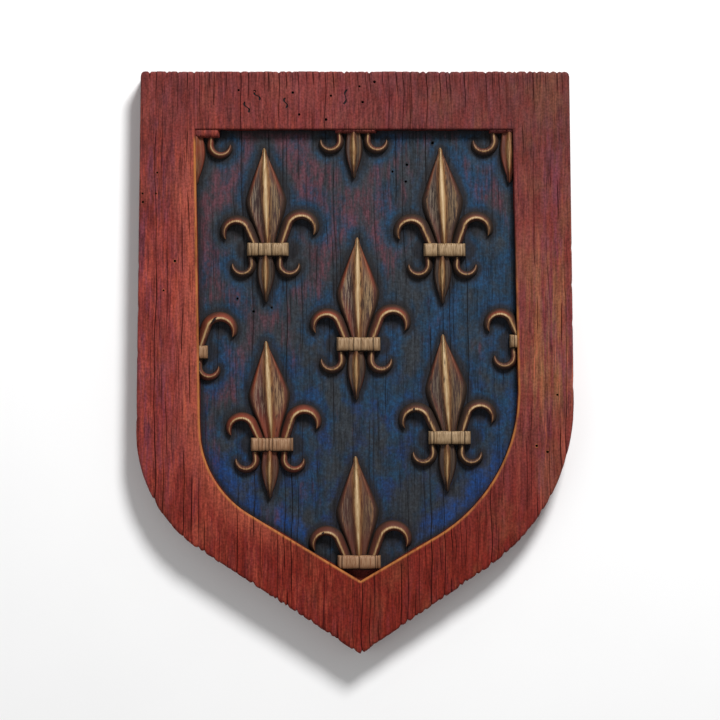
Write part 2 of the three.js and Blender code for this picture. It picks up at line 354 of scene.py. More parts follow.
class Grain:
    """Cracks along the grain: upright lines, each open along some of its length."""

    def __init__(self, g, outline):
        """Lays the lines at random steps across the board, and draws each one's sizes."""
        rng = np.random.default_rng(g.seed)
        self.g, self.outline = g, outline
        margin = 0.002
        lines = outline.edges[0] + margin + np.cumsum(rng.uniform(g.pitch_low, g.pitch_high, 200))
        self.lines = lines[lines < outline.edges[3] - margin]
        count = len(self.lines)
        self.half_width = rng.uniform(0.00017, 0.00036, count)
        self.depth = rng.uniform(0.15, 1.0, count) ** 1.2
        self.knots = rng.uniform(0.0, 1.0, (count, KNOTS))
        self.step = rng.uniform(0.016, 0.042, count)
        self.shift = rng.uniform(0.0, 1.0, count)

    def drift(self, u, y):
        """Sideways wander of the grain: two sine waves, faded out towards the outlines."""
        o = self.outline
        gap = np.min([np.abs(u - e) for e in o.edges], axis=0)
        ends = [np.abs(y - o.top), np.abs(y - o.field_top)]
        ends += [np.abs(y - o.board_bottom(u)), np.abs(y - o.field_bottom(u, 0.0))]
        window = smoothstep(gap / 0.006) * smoothstep(np.min(ends, axis=0) / 0.012)
        wave = np.sin(2 * math.pi * y / 0.13 + 9.0 * u) + 0.4 * np.sin(2 * math.pi * y / 0.047 + 31.0 * u)
        return self.g.drift * wave * window

    def bites(self, u, y):
        """How far the outline is bitten in: below and above each grain line, and at the sides.

        At each crack the edge has a notch. Between two cracks the slat's end stands back a little.
        """
        rng = np.random.default_rng(self.g.seed + 5)
        edges = []
        for deepest, slat in ((self.g.notch * 1.6, self.g.notch * 0.5), (self.g.notch, self.g.notch * 0.25)):
            count = len(self.lines)
            open_by = rng.uniform(0.0, 1.0, count) ** 2 * deepest
            stand_back = rng.uniform(0.0, slat, count + 1)
            gap = np.abs(u[:, None] - self.lines[None])
            notch = (open_by * np.clip(1 - gap / 0.0011, 0, 1)).max(1)
            edges.append(notch + stand_back[np.searchsorted(self.lines, u)])
        places = rng.uniform(y.min(), y.max(), BITES)
        sizes = rng.uniform(0.0, 1.0, BITES) ** 3 * 0.5 * self.g.notch
        bite = sizes * np.clip(1 - np.abs(y[:, :1] - places[None]) / 0.003, 0, 1)
        return edges[0], edges[1], bite.max(1, keepdims=True)

    def crack(self, u, y):
        """How deep the crack is at grain line u and height y: 0 where shut, at most about 1.2.

        Across a line it is a V. Along it, smooth noise between random knots opens it where the
        noise passes a threshold. Cracks are fewer on the top rail, but start at the top edge.
        """
        # The nearest line, and how far u lies from it.
        index = np.clip(np.searchsorted(self.lines, u), 1, len(self.lines) - 1)
        index -= np.abs(u - self.lines[index - 1]) < np.abs(u - self.lines[index])
        across = np.clip(1.0 - np.abs(u - self.lines[index]) / self.half_width[index], 0.0, 1.0)
        # The noise there: knots lie one step apart, counted from a place below the tip.
        along = (y + 0.2) / self.step[index] + self.shift[index]
        cell = np.floor(along).astype(int)
        t = smoothstep(along - cell)
        low = self.knots[index, cell % KNOTS]
        high = self.knots[index, (cell + 1) % KNOTS]
        level = low + (high - low) * t
        # More open at the board's top edge, less on the top rail, a little more below the field.
        reach = 0.004 + 0.018 * self.shift[index]
        end = 0.5 * smoothstep((y - self.outline.top + reach) / 0.008)
        rail = smoothstep((y - self.outline.field_top + 0.004) / 0.004)
        foot = smoothstep((self.outline.field_bottom(u, 0.0) - y) / 0.004)
        level = level - 0.16 * rail + end + 0.08 * foot
        return across * smoothstep((level - 0.45) / 0.3) * (self.depth[index] + 0.4 * end + 0.25 * foot)


# Meshes.


def weld(mesh):
    """Joins points that lie in the same place, so that sheets which meet close into one skin."""
    skin = bmesh.new()
    skin.from_mesh(mesh)
    bmesh.ops.remove_doubles(skin, verts=skin.verts, dist=1e-6)
    skin.to_mesh(mesh)
    skin.free()


class Sheets:
    """Collects grids of points and their faces into one mesh."""

    def __init__(self):
        self.points, self.faces, self.slots, self.marks = [], [], [], []
        self.count = 0

    def add(self, points, faces, slot, **marks):
        """Adds points (n, 3), faces as a list of index arrays (m, k), and marks for the points."""
        points = points.reshape(-1, 3)
        for face in faces:
            if len(face):
                self.faces.append(np.asarray(face) + self.count)
                self.slots.append(np.full(len(face), slot))
        self.points.append(points)
        self.marks.append({name: np.broadcast_to(v, (len(points),)) for name, v in marks.items()})
        self.count += len(points)

    def mesh(self, name, materials, mark_names):
        """The collected sheets as one welded mesh, without the points that no face uses."""
        points = np.vstack(self.points)
        used = np.zeros(len(points), bool)
        for face in self.faces:
            used[face.ravel()] = True
        renumber = np.cumsum(used) - 1
        corners = np.concatenate([renumber[face].ravel() for face in self.faces])
        sizes = np.concatenate([np.full(len(face), face.shape[1]) for face in self.faces])
        mesh = bpy.data.meshes.new(name)
        mesh.vertices.add(int(used.sum()))
        mesh.vertices.foreach_set("co", points[used].ravel())
        mesh.loops.add(len(corners))
        mesh.loops.foreach_set("vertex_index", corners.astype(np.int32))
        mesh.polygons.add(len(sizes))
        starts = np.concatenate(([0], np.cumsum(sizes)[:-1]))
        mesh.polygons.foreach_set("loop_start", starts.astype(np.int32))
        for material in materials:
            mesh.materials.append(material)
        mesh.polygons.foreach_set("material_index", np.concatenate(self.slots).astype(np.int32))
        mesh.update(calc_edges=True)
        for mark in mark_names:
            sheets = zip(self.marks, self.points)
            values = np.concatenate([own.get(mark, np.zeros(len(p))) for own, p in sheets])
            layer = mesh.attributes.new(mark, "FLOAT", "POINT")
            layer.data.foreach_set("value", values[used].astype(np.float32))
        mesh.validate()
        weld(mesh)
        return mesh


def grid_faces(rows, columns):
    """Quads of a grid whose point (r, c) has the number r * columns + c, facing up."""
    r, c = np.meshgrid(np.arange(rows - 1), np.arange(columns - 1), indexing="ij")
    a = r * columns + c
    return np.stack((a, a + 1, a + columns + 1, a + columns), axis=-1)


def ring_faces(rings, count):
    """Quads between closed rings of count points each, facing out where a ring runs
    anticlockwise and the next one lies below it."""
    k = np.arange(count)
    beside = (k + 1) % count
    ring = np.arange(rings - 1)[:, None] * count
    return np.stack((ring + k, ring + count + k, ring + count + beside, ring + beside), -1).reshape(-1, 4)


# The marks kept at each point. crack: how deep a crack is. gap: millimetres from the carving,
# and on the carving its height over the field. lip: millimetres from the field's edge. gilt,
# tint and wash: how much of each finish lies there; on the arms gilt also holds painted light.
# ember: the glaze on a leaf, with painted light on the arms' upper arcs, and on the field the
# painted shadow and dark wash under the arms. flank and along: the place across and along a leaf.
MARKS = ("crack", "gap", "lip", "gilt", "ember", "flank", "tint", "along", "wash")


# The flower's leaves as shares of its height, and each flower's place in the field.
PETAL = dict(length=0.659, base=0.049, widest=0.139, widest_at=0.491, fullness=1.15)
TAIL = dict(length=0.341, base=0.049, widest=0.0625, widest_at=0.437, fullness=1.6)
ARM = dict(stem=(0.09, 0.03), centre=(0.213, 0.119), radius=0.082, turn=(150, -26),
           outer=0.056, inner=0.026, outer_at_root=0.8, crest=0.9)
CURL = dict(stem=(0.097, -0.028), centre=(0.154, -0.092), radius=0.061, turn=(180, 365),
            outer=0.037, inner=0.025, outer_at_root=0.75, crest=0.68)
BAND = dict(width=0.27, height=0.094, crest=0.98)
FOOT_SHIFT = -0.013
FLOWERS = (
    dict(u=0.0086, v=0.0012, lean=2.5, scale=1.0, hides="crown", tint=0.6, tail_tint=0.9),
    dict(u=0.5052, v=-0.0085, lean=2.5, scale=0.97, hides="crown"),
    dict(u=0.997, v=-0.0097, lean=2.5, scale=1.06, hides="crown", tint=0.15, tail_tint=0.75),
    dict(u=0.2276, v=0.2659, lean=2.1, scale=0.98, left=0.94, right=1.04, wash=0.34),
    dict(u=0.7856, v=0.2671, lean=2.5, scale=0.99, left=0.99, right=0.98, wash=0.45),
    dict(u=-0.0282, v=0.4937, lean=2.5, scale=1.0, left=1.0, right=1.02, hides="petal", tint=0.6),
    dict(u=0.5138, v=0.476, lean=0.7, scale=1.03, left=0.92, right=1.0, tint=0.25),
    dict(u=1.0575, v=0.4695, lean=2.5, scale=1.0, left=0.9, right=1.0, hides="petal", tint=0.3),
    dict(u=0.2408, v=0.6986, lean=3.4, scale=1.0, left=0.89, right=1.0, tint=0.62),
    dict(u=0.8011, v=0.6836, lean=3.7, scale=1.0, left=0.97, right=0.95, wash=0.47),
    dict(u=0.5161, v=0.9592, lean=2.0, scale=1.02, left=0.95, right=1.03, hides="foot", tint=0.7, wash=0.6),
)


def swept(at, across, offset, height):
    """A closed strip: at each station the profile (offset, height) stands across the path.

    at and across are (stations, 2), offset and height (stations, profile points). Profiles run
    from the right of the path over its top to the left, and the ends are closed.
    """
    stations, count = offset.shape
    points = np.empty((stations, count, 3))
    points[..., :2] = at[:, None] + offset[..., None] * across[:, None]
    points[..., 2] = height
    k = np.arange(count)
    beside = (k + 1) % count
    s = np.arange(stations - 1)[:, None] * count
    quads = np.stack((s + k, s + beside, s + count + beside, s + count + k), -1).reshape(-1, 4)[:, ::-1]
    caps = [np.arange(count)[None], ((stations - 1) * count + np.arange(count)[::-1])[None]]
    return points, [quads, caps[0], caps[1]]


def spear(leaf, direction, size, relief, root, steps):
    """A spear-shaped leaf of the flower, from its band to its point.

    Half-width: an S-curve from the base to the widest place, then a power curve to the point.
    Height across it: a narrow round spine, a hollow facet, a shoulder and a steep edge.
    """
    # Half-width and height of the spine along the leaf.
    t = np.linspace(0.0, 1.0, steps)
    rising = leaf["base"] + (leaf["widest"] - leaf["base"]) * smoothstep(t / leaf["widest_at"])
    past = np.clip((t - leaf["widest_at"]) / (1 - leaf["widest_at"]), 0.0, 1.0)
    falling = leaf["widest"] * (1 - past ** leaf["fullness"])
    width = size * np.maximum(np.where(t < leaf["widest_at"], rising, falling), 0.018)
    width *= np.sqrt(np.maximum(1 - t**50, 0.1))
    crest = relief * (0.76 + 0.2 * np.sin(math.pi * t)) * (1 - 0.4 * t**6)
    # The profile: shares of the half-width, and of the spine's height, from the spine outwards.
    across = np.array([0.0, 0.08, 0.15, 0.21, 0.29, 0.39, 0.50, 0.61, 0.69, 0.76, 0.84, 0.92, 1.0])
    rise = np.array([1.0, 0.985, 0.92, 0.79, 0.65, 0.57, 0.53, 0.54, 0.57, 0.55, 0.40, 0.20, 0.0])
    share_of = np.concatenate((across[::-1], -across[1:]))
    height = np.concatenate((rise[::-1], rise[1:]))
    offset = width[:, None] * share_of
    z = crest[:, None] * height
    z[:, [0, -1]] = -root
    at = np.column_stack((np.zeros(steps), direction * t * leaf["length"] * size))
    side = np.tile(np.array([direction, 0.0]), (steps, 1))
    # Flutes on a petal's neck: waves across it that fade out along it.
    neck = 1 - smoothstep(t[:, None] / 0.42)
    flute = neck * np.cos(7 * math.pi * share_of)
    z += (0.06 if direction > 0 else 0.0) * crest[:, None] * flute * (height > 0.45)
    # Gilding: bell curves on the spine and, on a petal, on its shoulders.
    breadth = 0.11 + 0.5 * t[:, None] ** 5
    spine = np.exp(-((share_of / breadth) ** 2)) * (0.55 + 0.45 * smoothstep(t[:, None] * 4))
    spine = np.maximum(spine, 0.48 * np.exp(-((share_of / (2.3 * breadth)) ** 2)))
    border = 0.3 * np.exp(-(((np.abs(share_of) - 0.7) / 0.06) ** 2)) * (1 - neck)
    if direction < 0:
        spine = 0.66 * np.exp(-(((share_of - 0.08) / 0.36) ** 2)) * np.sin(math.pi * t[:, None]) ** 0.7
        border, flute = 0.0 * border, 0.0 * flute
    tip = smoothstep((t[:, None] - 0.45) / 0.3)
    marks = dict(
        gilt=np.maximum(np.maximum(spine, border), 0.4 * np.clip(flute, 0, 1)),
        ember=np.maximum(smoothstep((np.abs(share_of) - 0.66) / 0.1) * (0.1 + 0.6 * tip), 0.3 * neck),
        flank=np.broadcast_to(np.where(np.abs(share_of) > 0.74, 2.0, share_of * direction), z.shape),
        along=np.broadcast_to(direction * t[:, None], z.shape),
    )
    return at, side, offset, z, marks


def hook(leaf, size, relief, root, steps):
    """A hooked leaf: a straight stem that runs into a circular hook.

    Its crest lies along the path. The outer slope is broad and round, the inner one steep. The
    width tapers to the end, and the gilding is a bell curve across the crest, brighter on the upper
    part of the arc as painted light.
    """
    # The path: along the stem to the start of the arc, then round the arc's centre.
    start, end = (math.radians(a) for a in leaf["turn"])
    clockwise = end < start
    outward = 1.0 if clockwise else -1.0
    centre, stem = np.array(leaf["centre"]), np.array(leaf["stem"])
    arc_start = centre + leaf["radius"] * np.array([math.cos(start), math.sin(start)])
    straight = np.linalg.norm(arc_start - stem)
    whole = straight + leaf["radius"] * abs(end - start)
    t = np.linspace(0.0, 1.0, steps)
    run = t * whole
    on_stem = run < straight
    angle = start + (end - start) * np.clip((run - straight) / (whole - straight), 0.0, 1.0)
    ray = np.column_stack((np.cos(angle), np.sin(angle)))
    way = (arc_start - stem) / straight
    at = np.where(on_stem[:, None], stem + way * run[:, None], centre + leaf["radius"] * ray)
    turning = np.column_stack((-ray[:, 1], ray[:, 0])) * (-1.0 if clockwise else 1.0)
    along = np.where(on_stem[:, None], way, turning)
    side = np.column_stack((-along[:, 1], along[:, 0]))
    # Widths of both slopes and height of the crest along the path.
    taper = np.sqrt(np.maximum(1 - t**12, 0.004)) * (1 - 0.25 * t)
    swell = leaf["outer_at_root"] + (1 - leaf["outer_at_root"]) * np.sin(math.pi * t)
    outer = leaf["outer"] * taper * swell * outward
    inner = leaf["inner"] * taper * outward
    crest = relief * leaf["crest"] * (0.72 + 0.28 * np.sin(math.pi * t)) * (1 - 0.45 * t**4)
    # The profile: shares of each slope's width, and of the crest's height.
    out_at = np.array([1.0, 0.95, 0.84, 0.66, 0.46, 0.28, 0.14, 0.05])
    out_rise = np.array([0.0, 0.16, 0.40, 0.62, 0.79, 0.91, 0.98, 1.0])
    in_at = np.array([0.22, 0.45, 0.68, 0.86, 1.0])
    in_rise = np.array([0.97, 0.80, 0.52, 0.22, 0.0])
    offset = np.hstack((outer[:, None] * out_at, -inner[:, None] * in_at))
    rise = np.concatenate((out_rise, in_rise))
    z = crest[:, None] * rise
    z[:, [0, -1]] = -root
    share_of = np.concatenate((out_at, -in_at))
    # Painted light: the gilding and the ember glaze are strongest on the upper part of the arc, which faces
    # the light.
    lit = smoothstep((ray[:, 1] - 0.35) / 0.5)[:, None]
    slope = smoothstep((share_of - 0.06) / 0.2) * (1 - smoothstep((share_of - 0.26) / 0.42))
    flank = np.where(share_of < 0, -0.9, 0.4 + 1.6 * smoothstep((share_of - 0.2) / 0.25))
    marks = dict(
        gilt=np.exp(-(((share_of - 0.03) / 0.21) ** 2)) * (1 - 0.4 * t[:, None] ** 3) * (0.7 + 0.3 * lit),
        ember=slope * (0.12 + 0.88 * lit),
        flank=np.broadcast_to(flank, z.shape),
    )
    if clockwise:
        offset, z = offset[:, ::-1], z[:, ::-1]
        marks = {name: value[:, ::-1] for name, value in marks.items()}
    return at * size, side, offset * size, z, marks


def band(size, relief, root, rng):
    """The band that ties the leaves: a bar with rounded edges and ends, scored across.

    Each score is a narrow bell curve along the band that takes up to 0.13 off its height.
    """
    half, tall = BAND["width"] / 2 * size, BAND["height"] / 2 * size
    x = np.linspace(-1.0, 1.0, 71)
    y = np.array([-1.0, -0.97, -0.88, -0.72, -0.45, -0.15, 0.15, 0.45, 0.72, 0.88, 0.97, 1.0])
    rise = np.array([0.0, 0.56, 0.80, 0.92, 0.98, 1.0, 1.0, 0.99, 0.95, 0.86, 0.60, 0.0])
    ends = 1 - 0.5 * np.clip((np.abs(x) - 0.87) / 0.13, 0, 1) ** 2
    score = np.zeros_like(x)
    for place in rng.uniform(-0.9, 0.9, 9):
        score = np.maximum(score, rng.uniform(0.2, 1.0) * np.exp(-(((x - place) / 0.026) ** 2)))
    z = relief * BAND["crest"] * (ends[:, None] * rise - 0.13 * score[:, None] * (rise > 0.5))
    z[:, [0, -1]] = -root
    wobble = 1 + 0.02 * np.sin(7 * x + rng.uniform(0, 6))
    offset = (tall * wobble)[:, None] * y
    at = np.column_stack((x * half, np.zeros_like(x)))
    side = np.tile(np.array([0.0, 1.0]), (len(x), 1))
    marks = dict(
        gilt=np.broadcast_to(1 - 0.9 * score[:, None], z.shape) * (rise > 0.8),
        ember=np.zeros(z.shape),
        flank=np.broadcast_to(y, z.shape),
    )
    return at, side, offset, z, marks


def flower_parts(flower, f, rng):
    """The strips of one flower in its own place, size and lean, as (slot, strip, marks)."""
    size = f.height * flower["scale"]
    coarse = 1
    hides = flower.get("hides")
    parts = []
    if hides not in ("petal", "crown"):
        parts.append((LEAVES, "crown", False, spear(PETAL, 1, size, f.relief, f.root, 45 // coarse)))
    if hides != "foot":
        parts.append((LEAVES, "foot", False, spear(TAIL, -1, size, f.relief, f.root, 25 // coarse)))
    for mirror, side in ((True, "left"), (False, "right")):
        if hides != "crown":
            arm = hook(ARM, size * flower.get(side, 1.0), f.relief, f.root, 41 // coarse)
            parts.append((LEAVES, "crown", mirror, arm))
        if hides != "foot":
            parts.append((LEAVES, "foot", mirror, hook(CURL, size, f.relief, f.root, 31 // coarse)))
    slot = FRAME if hides == "crown" else BANDS
    parts.append((slot, "band", False, band(size, f.relief, f.root, rng)))
    return size, parts


def turned(points, degrees):
    """Points turned anticlockwise: x cosine less y sine, and x sine plus y cosine."""
    c, s = math.cos(math.radians(degrees)), math.sin(math.radians(degrees))
    return points @ np.array([[c, s], [-s, c]])


def flower_place(flower, outline):
    """The middle of the flower's band, from its shares of the field's width and height."""
    _, left, right, _ = outline.verticals(np.array(outline.field_top), 0.0)
    x = left + (right - left) * flower["u"]
    return np.array([x, outline.field_top - outline.field_height * flower["v"]])


def flower_strips(f, outline, rng):
    """All flowers' strips: each a slot, its path, sides, offsets, heights and marks."""
    strips = []
    for flower in FLOWERS:
        place = flower_place(flower, outline)
        size, parts = flower_parts(flower, f, rng)
        for slot, group, mirror, (at, side, offset, z, marks) in parts:
            at, side = at.copy(), side.copy()
            if mirror:
                at[:, 0] *= -1
                side[:, 0] *= -1
                offset, z = offset[:, ::-1], z[:, ::-1]
                marks = {name: value[:, ::-1] for name, value in marks.items()}
            if group == "crown":
                at, side = turned(at, flower["lean"]), turned(side, flower["lean"])
            if group == "foot":
                at[:, 0] += FOOT_SHIFT * size
            tint = flower.get("tint", 0.1)
            tail = np.broadcast_to(marks.get("along", 0.0), z.shape) < 0
            marks["tint"] = np.where(tail, flower.get("tail_tint", tint), tint)
            marks["wash"] = np.full(z.shape, flower.get("wash", 0.0))
            strips.append((slot, at + place, side, offset, z, marks))
    return strips


def arm_shadow_and_wash(points, f, outline):
    """How deep a point of the field lies in the painted shadow and dark wash under a flower's arm, from 0 to
    1.

    It is 1 less a soft step of the distance from the arm's middle, measured in its radius.
    """
    shade = np.zeros(len(points))
    for flower in FLOWERS:
        size = f.height * flower["scale"]
        place = flower_place(flower, outline)
        for sign, side in ((-1, "left"), (1, "right")):
            if flower.get("hides") == "crown":
                continue
            reach = size * flower.get(side, 1.0)
            # The painted shadow's middle lies a little above the arm's middle, under the top of its arc.
            centre = np.array([[sign * ARM["centre"][0] * reach, (ARM["centre"][1] + 0.028) * reach]])
            centre = turned(centre, flower["lean"])[0] + place
            away = np.sqrt(((points - centre) ** 2).sum(1)) / (ARM["radius"] * reach)
            shade = np.maximum(shade, 1 - smoothstep((away - 0.45) / 0.5))
    return shade


def inside_field(points, outline, grow):
    """Which points lie inside the field's outline, moved outwards by grow."""
    x, y = points[:, 0], points[:, 1]
    _, left, right, _ = outline.verticals(y, grow)
    low = outline.field_bottom(x, grow)
    return (x > left) & (x < right) & (y > low) & (y < outline.field_top + grow)


def columns(outline, grain):
    """Grain lines of the grid: three for each crack, close ones at the edges, and fillers."""
    e, tip = outline.edges, outline.tip[0]
    near = np.array([0.0, 0.0004, 0.0009, 0.0016, 0.0026])
    fixed = np.concatenate((e[0] + near, e[3] - near, e[1] + near, e[1] - near, e[2] + near, e[2] - near))
    fixed = np.unique(np.round(np.concatenate((fixed, [tip, tip - 0.0006, tip + 0.0006])), 7))
    cracks = np.concatenate([grain.lines + k * grain.half_width for k in (-1, 0, 1)])
    gap = np.abs(cracks[:, None] - fixed[None]).min(1)
    chosen = np.sort(np.concatenate((fixed, cracks[gap > 0.00022])))
    keep = np.concatenate(([True], np.diff(chosen) > 1.2e-4))
    keep |= np.isin(chosen, fixed)
    chosen = chosen[keep]
    widest = 0.0012
    filled = [chosen[:1]]
    for a, c in zip(chosen[:-1], chosen[1:]):
        filled.append(np.linspace(a, c, max(int(math.ceil((c - a) / widest)), 1) + 1)[1:])
    return np.concatenate(filled)


def rows(count, first, last):
    """Shares of the way from one edge to the next: even, with the given close ones at the ends."""
    first, last = np.array(first), np.array(last)
    even = np.linspace(first[-1] if len(first) else 0.0, 1 - (last[-1] if len(last) else 0.0), count)
    return np.unique(np.round(np.concatenate((first, even, 1 - last, [0.0, 1.0])), 6))


# Beetle holes and galleries, each at its start and, for a gallery, its end (millimetres).
FRAME_HOLES = (
    (-108.4, 104.3), (-116.4, 92.9), (-109.0, 92.9), (-116.2, 88.2), (-98.7, 55.9), (-104.9, 39.8),
    (-55.0, 149.0), (-63.8, 149.5), (-34.1, 148.2), (-13.2, 146.5), (-30.6, 136.2), (-15.9, 133.4),
    (10.7, 154.1), (2.5, 151.6), (4.2, 143.0), (110.9, -17.4), (99.6, -45.4), (105.5, -48.7),
)
FIELD_HOLES = (
    (-64.6, 35.4), (-45.8, 30.4), (-55.8, 28.3), (42.6, 121.0), (28.5, 109.0), (20.6, 105.3), (27.9, 99.8),
)
GALLERIES = (
    (-55.0, 149.0, -52.4, 144.0), (-60.4, 143.2, -58.3, 137.3),
    (-38.2, 145.3, -37.8, 139.8), (-4.2, 149.9, -6.3, 141.9),
)
# Nicks across an arm: the middle and the direction of each cut (millimetres, degrees).
NICKS = ((-17.2, -91.3, 80.0), (33.0, -22.8, 75.0), (-77.3, 23.8, 60.0))


def tube(path, radius, sides):
    """A closed tube of many sides round a path (n, 3), with its own radius at each point.

    Each ring is the path's point plus radius times (cosine times right plus sine times up).
    """
    along = np.gradient(path, axis=0)
    along /= np.linalg.norm(along, axis=1)[:, None]
    other = np.where(np.abs(along[:, 2:3]) > 0.7, np.array([[1.0, 0.0, 0.0]]), np.array([[0.0, 0.0, 1.0]]))
    right = np.cross(along, other)
    right /= np.linalg.norm(right, axis=1)[:, None]
    up = np.cross(right, along)
    angle = np.arange(sides) * 2 * math.pi / sides
    ring = np.cos(angle)[None, :, None] * right[:, None] + np.sin(angle)[None, :, None] * up[:, None]
    points = path[:, None] + np.broadcast_to(radius, (len(path),))[:, None, None] * ring
    k = np.arange(sides)
    far_end = (len(path) - 1) * sides + k[::-1]
    return points, [ring_faces(len(path), sides), k[None], far_end[None]]


def hole_mesh(b, g, materials):
    """All cutters: a tapered pin for each beetle hole, a wavy tube for each gallery, and nicks.

    A gallery's path is a straight line with one sine wave across it.
    """
    rng = np.random.default_rng(g.seed + 9)
    sheets = Sheets()
    # A pin: heights from the face, as shares of the hole's depth, and widths there.
    pin = np.array([0.6, 0.0, -0.35, -1.0])
    wide = np.array([1.0, 1.0, 0.8, 0.6])
    for holes, level in ((FRAME_HOLES, b.thickness), (FIELD_HOLES, b.thickness - b.field_depth)):
        for x, y in holes:
            lean = rng.uniform(-0.15, 0.15, 2)
            size = g.hole_width / 2 * rng.uniform(0.8, 1.15)
            z = pin * g.hole_depth
            across, along = x / MILLIMETRES + lean[0] * z, y / MILLIMETRES + lean[1] * z
            path = np.column_stack((across, along, level + z))
            sheets.add(*tube(path, size * wide, 8), HOLES)
    # A gallery: it waves 0.8 mm to each side, is about 1 mm wide and lies just below the face.
    for x0, y0, x1, y1 in GALLERIES:
        t = np.linspace(0.0, 1.0, 15)
        start, end = np.array([[x0, y0], [x1, y1]]) / MILLIMETRES
        across = np.array([end[1] - start[1], start[0] - end[0]])
        across /= np.linalg.norm(across)
        flat = start + (end - start) * t[:, None] + across * 0.0008 * np.sin(2 * math.pi * t)[:, None]
        path = np.column_stack((flat, b.thickness - 0.0002 + 0.0 * t))
        sheets.add(*tube(path, 0.00052 * (0.8 + 0.3 * np.sin(9 * t)), 8), HOLES)
    # A nick: 6.4 mm long and 1 mm wide.
    for x, y, degrees in NICKS:
        t = np.linspace(-1.0, 1.0, 4)
        way = 0.0032 * np.array([math.cos(math.radians(degrees)), math.sin(math.radians(degrees))])
        flat = np.array([x, y]) / MILLIMETRES + way * t[:, None]
        path = np.column_stack((flat, b.thickness - 0.0016 + 0.0 * t))
        sheets.add(*tube(path, 0.0005 + 0.0 * t, 8), HOLES)
    return sheets.mesh("beetle_holes", materials, ())


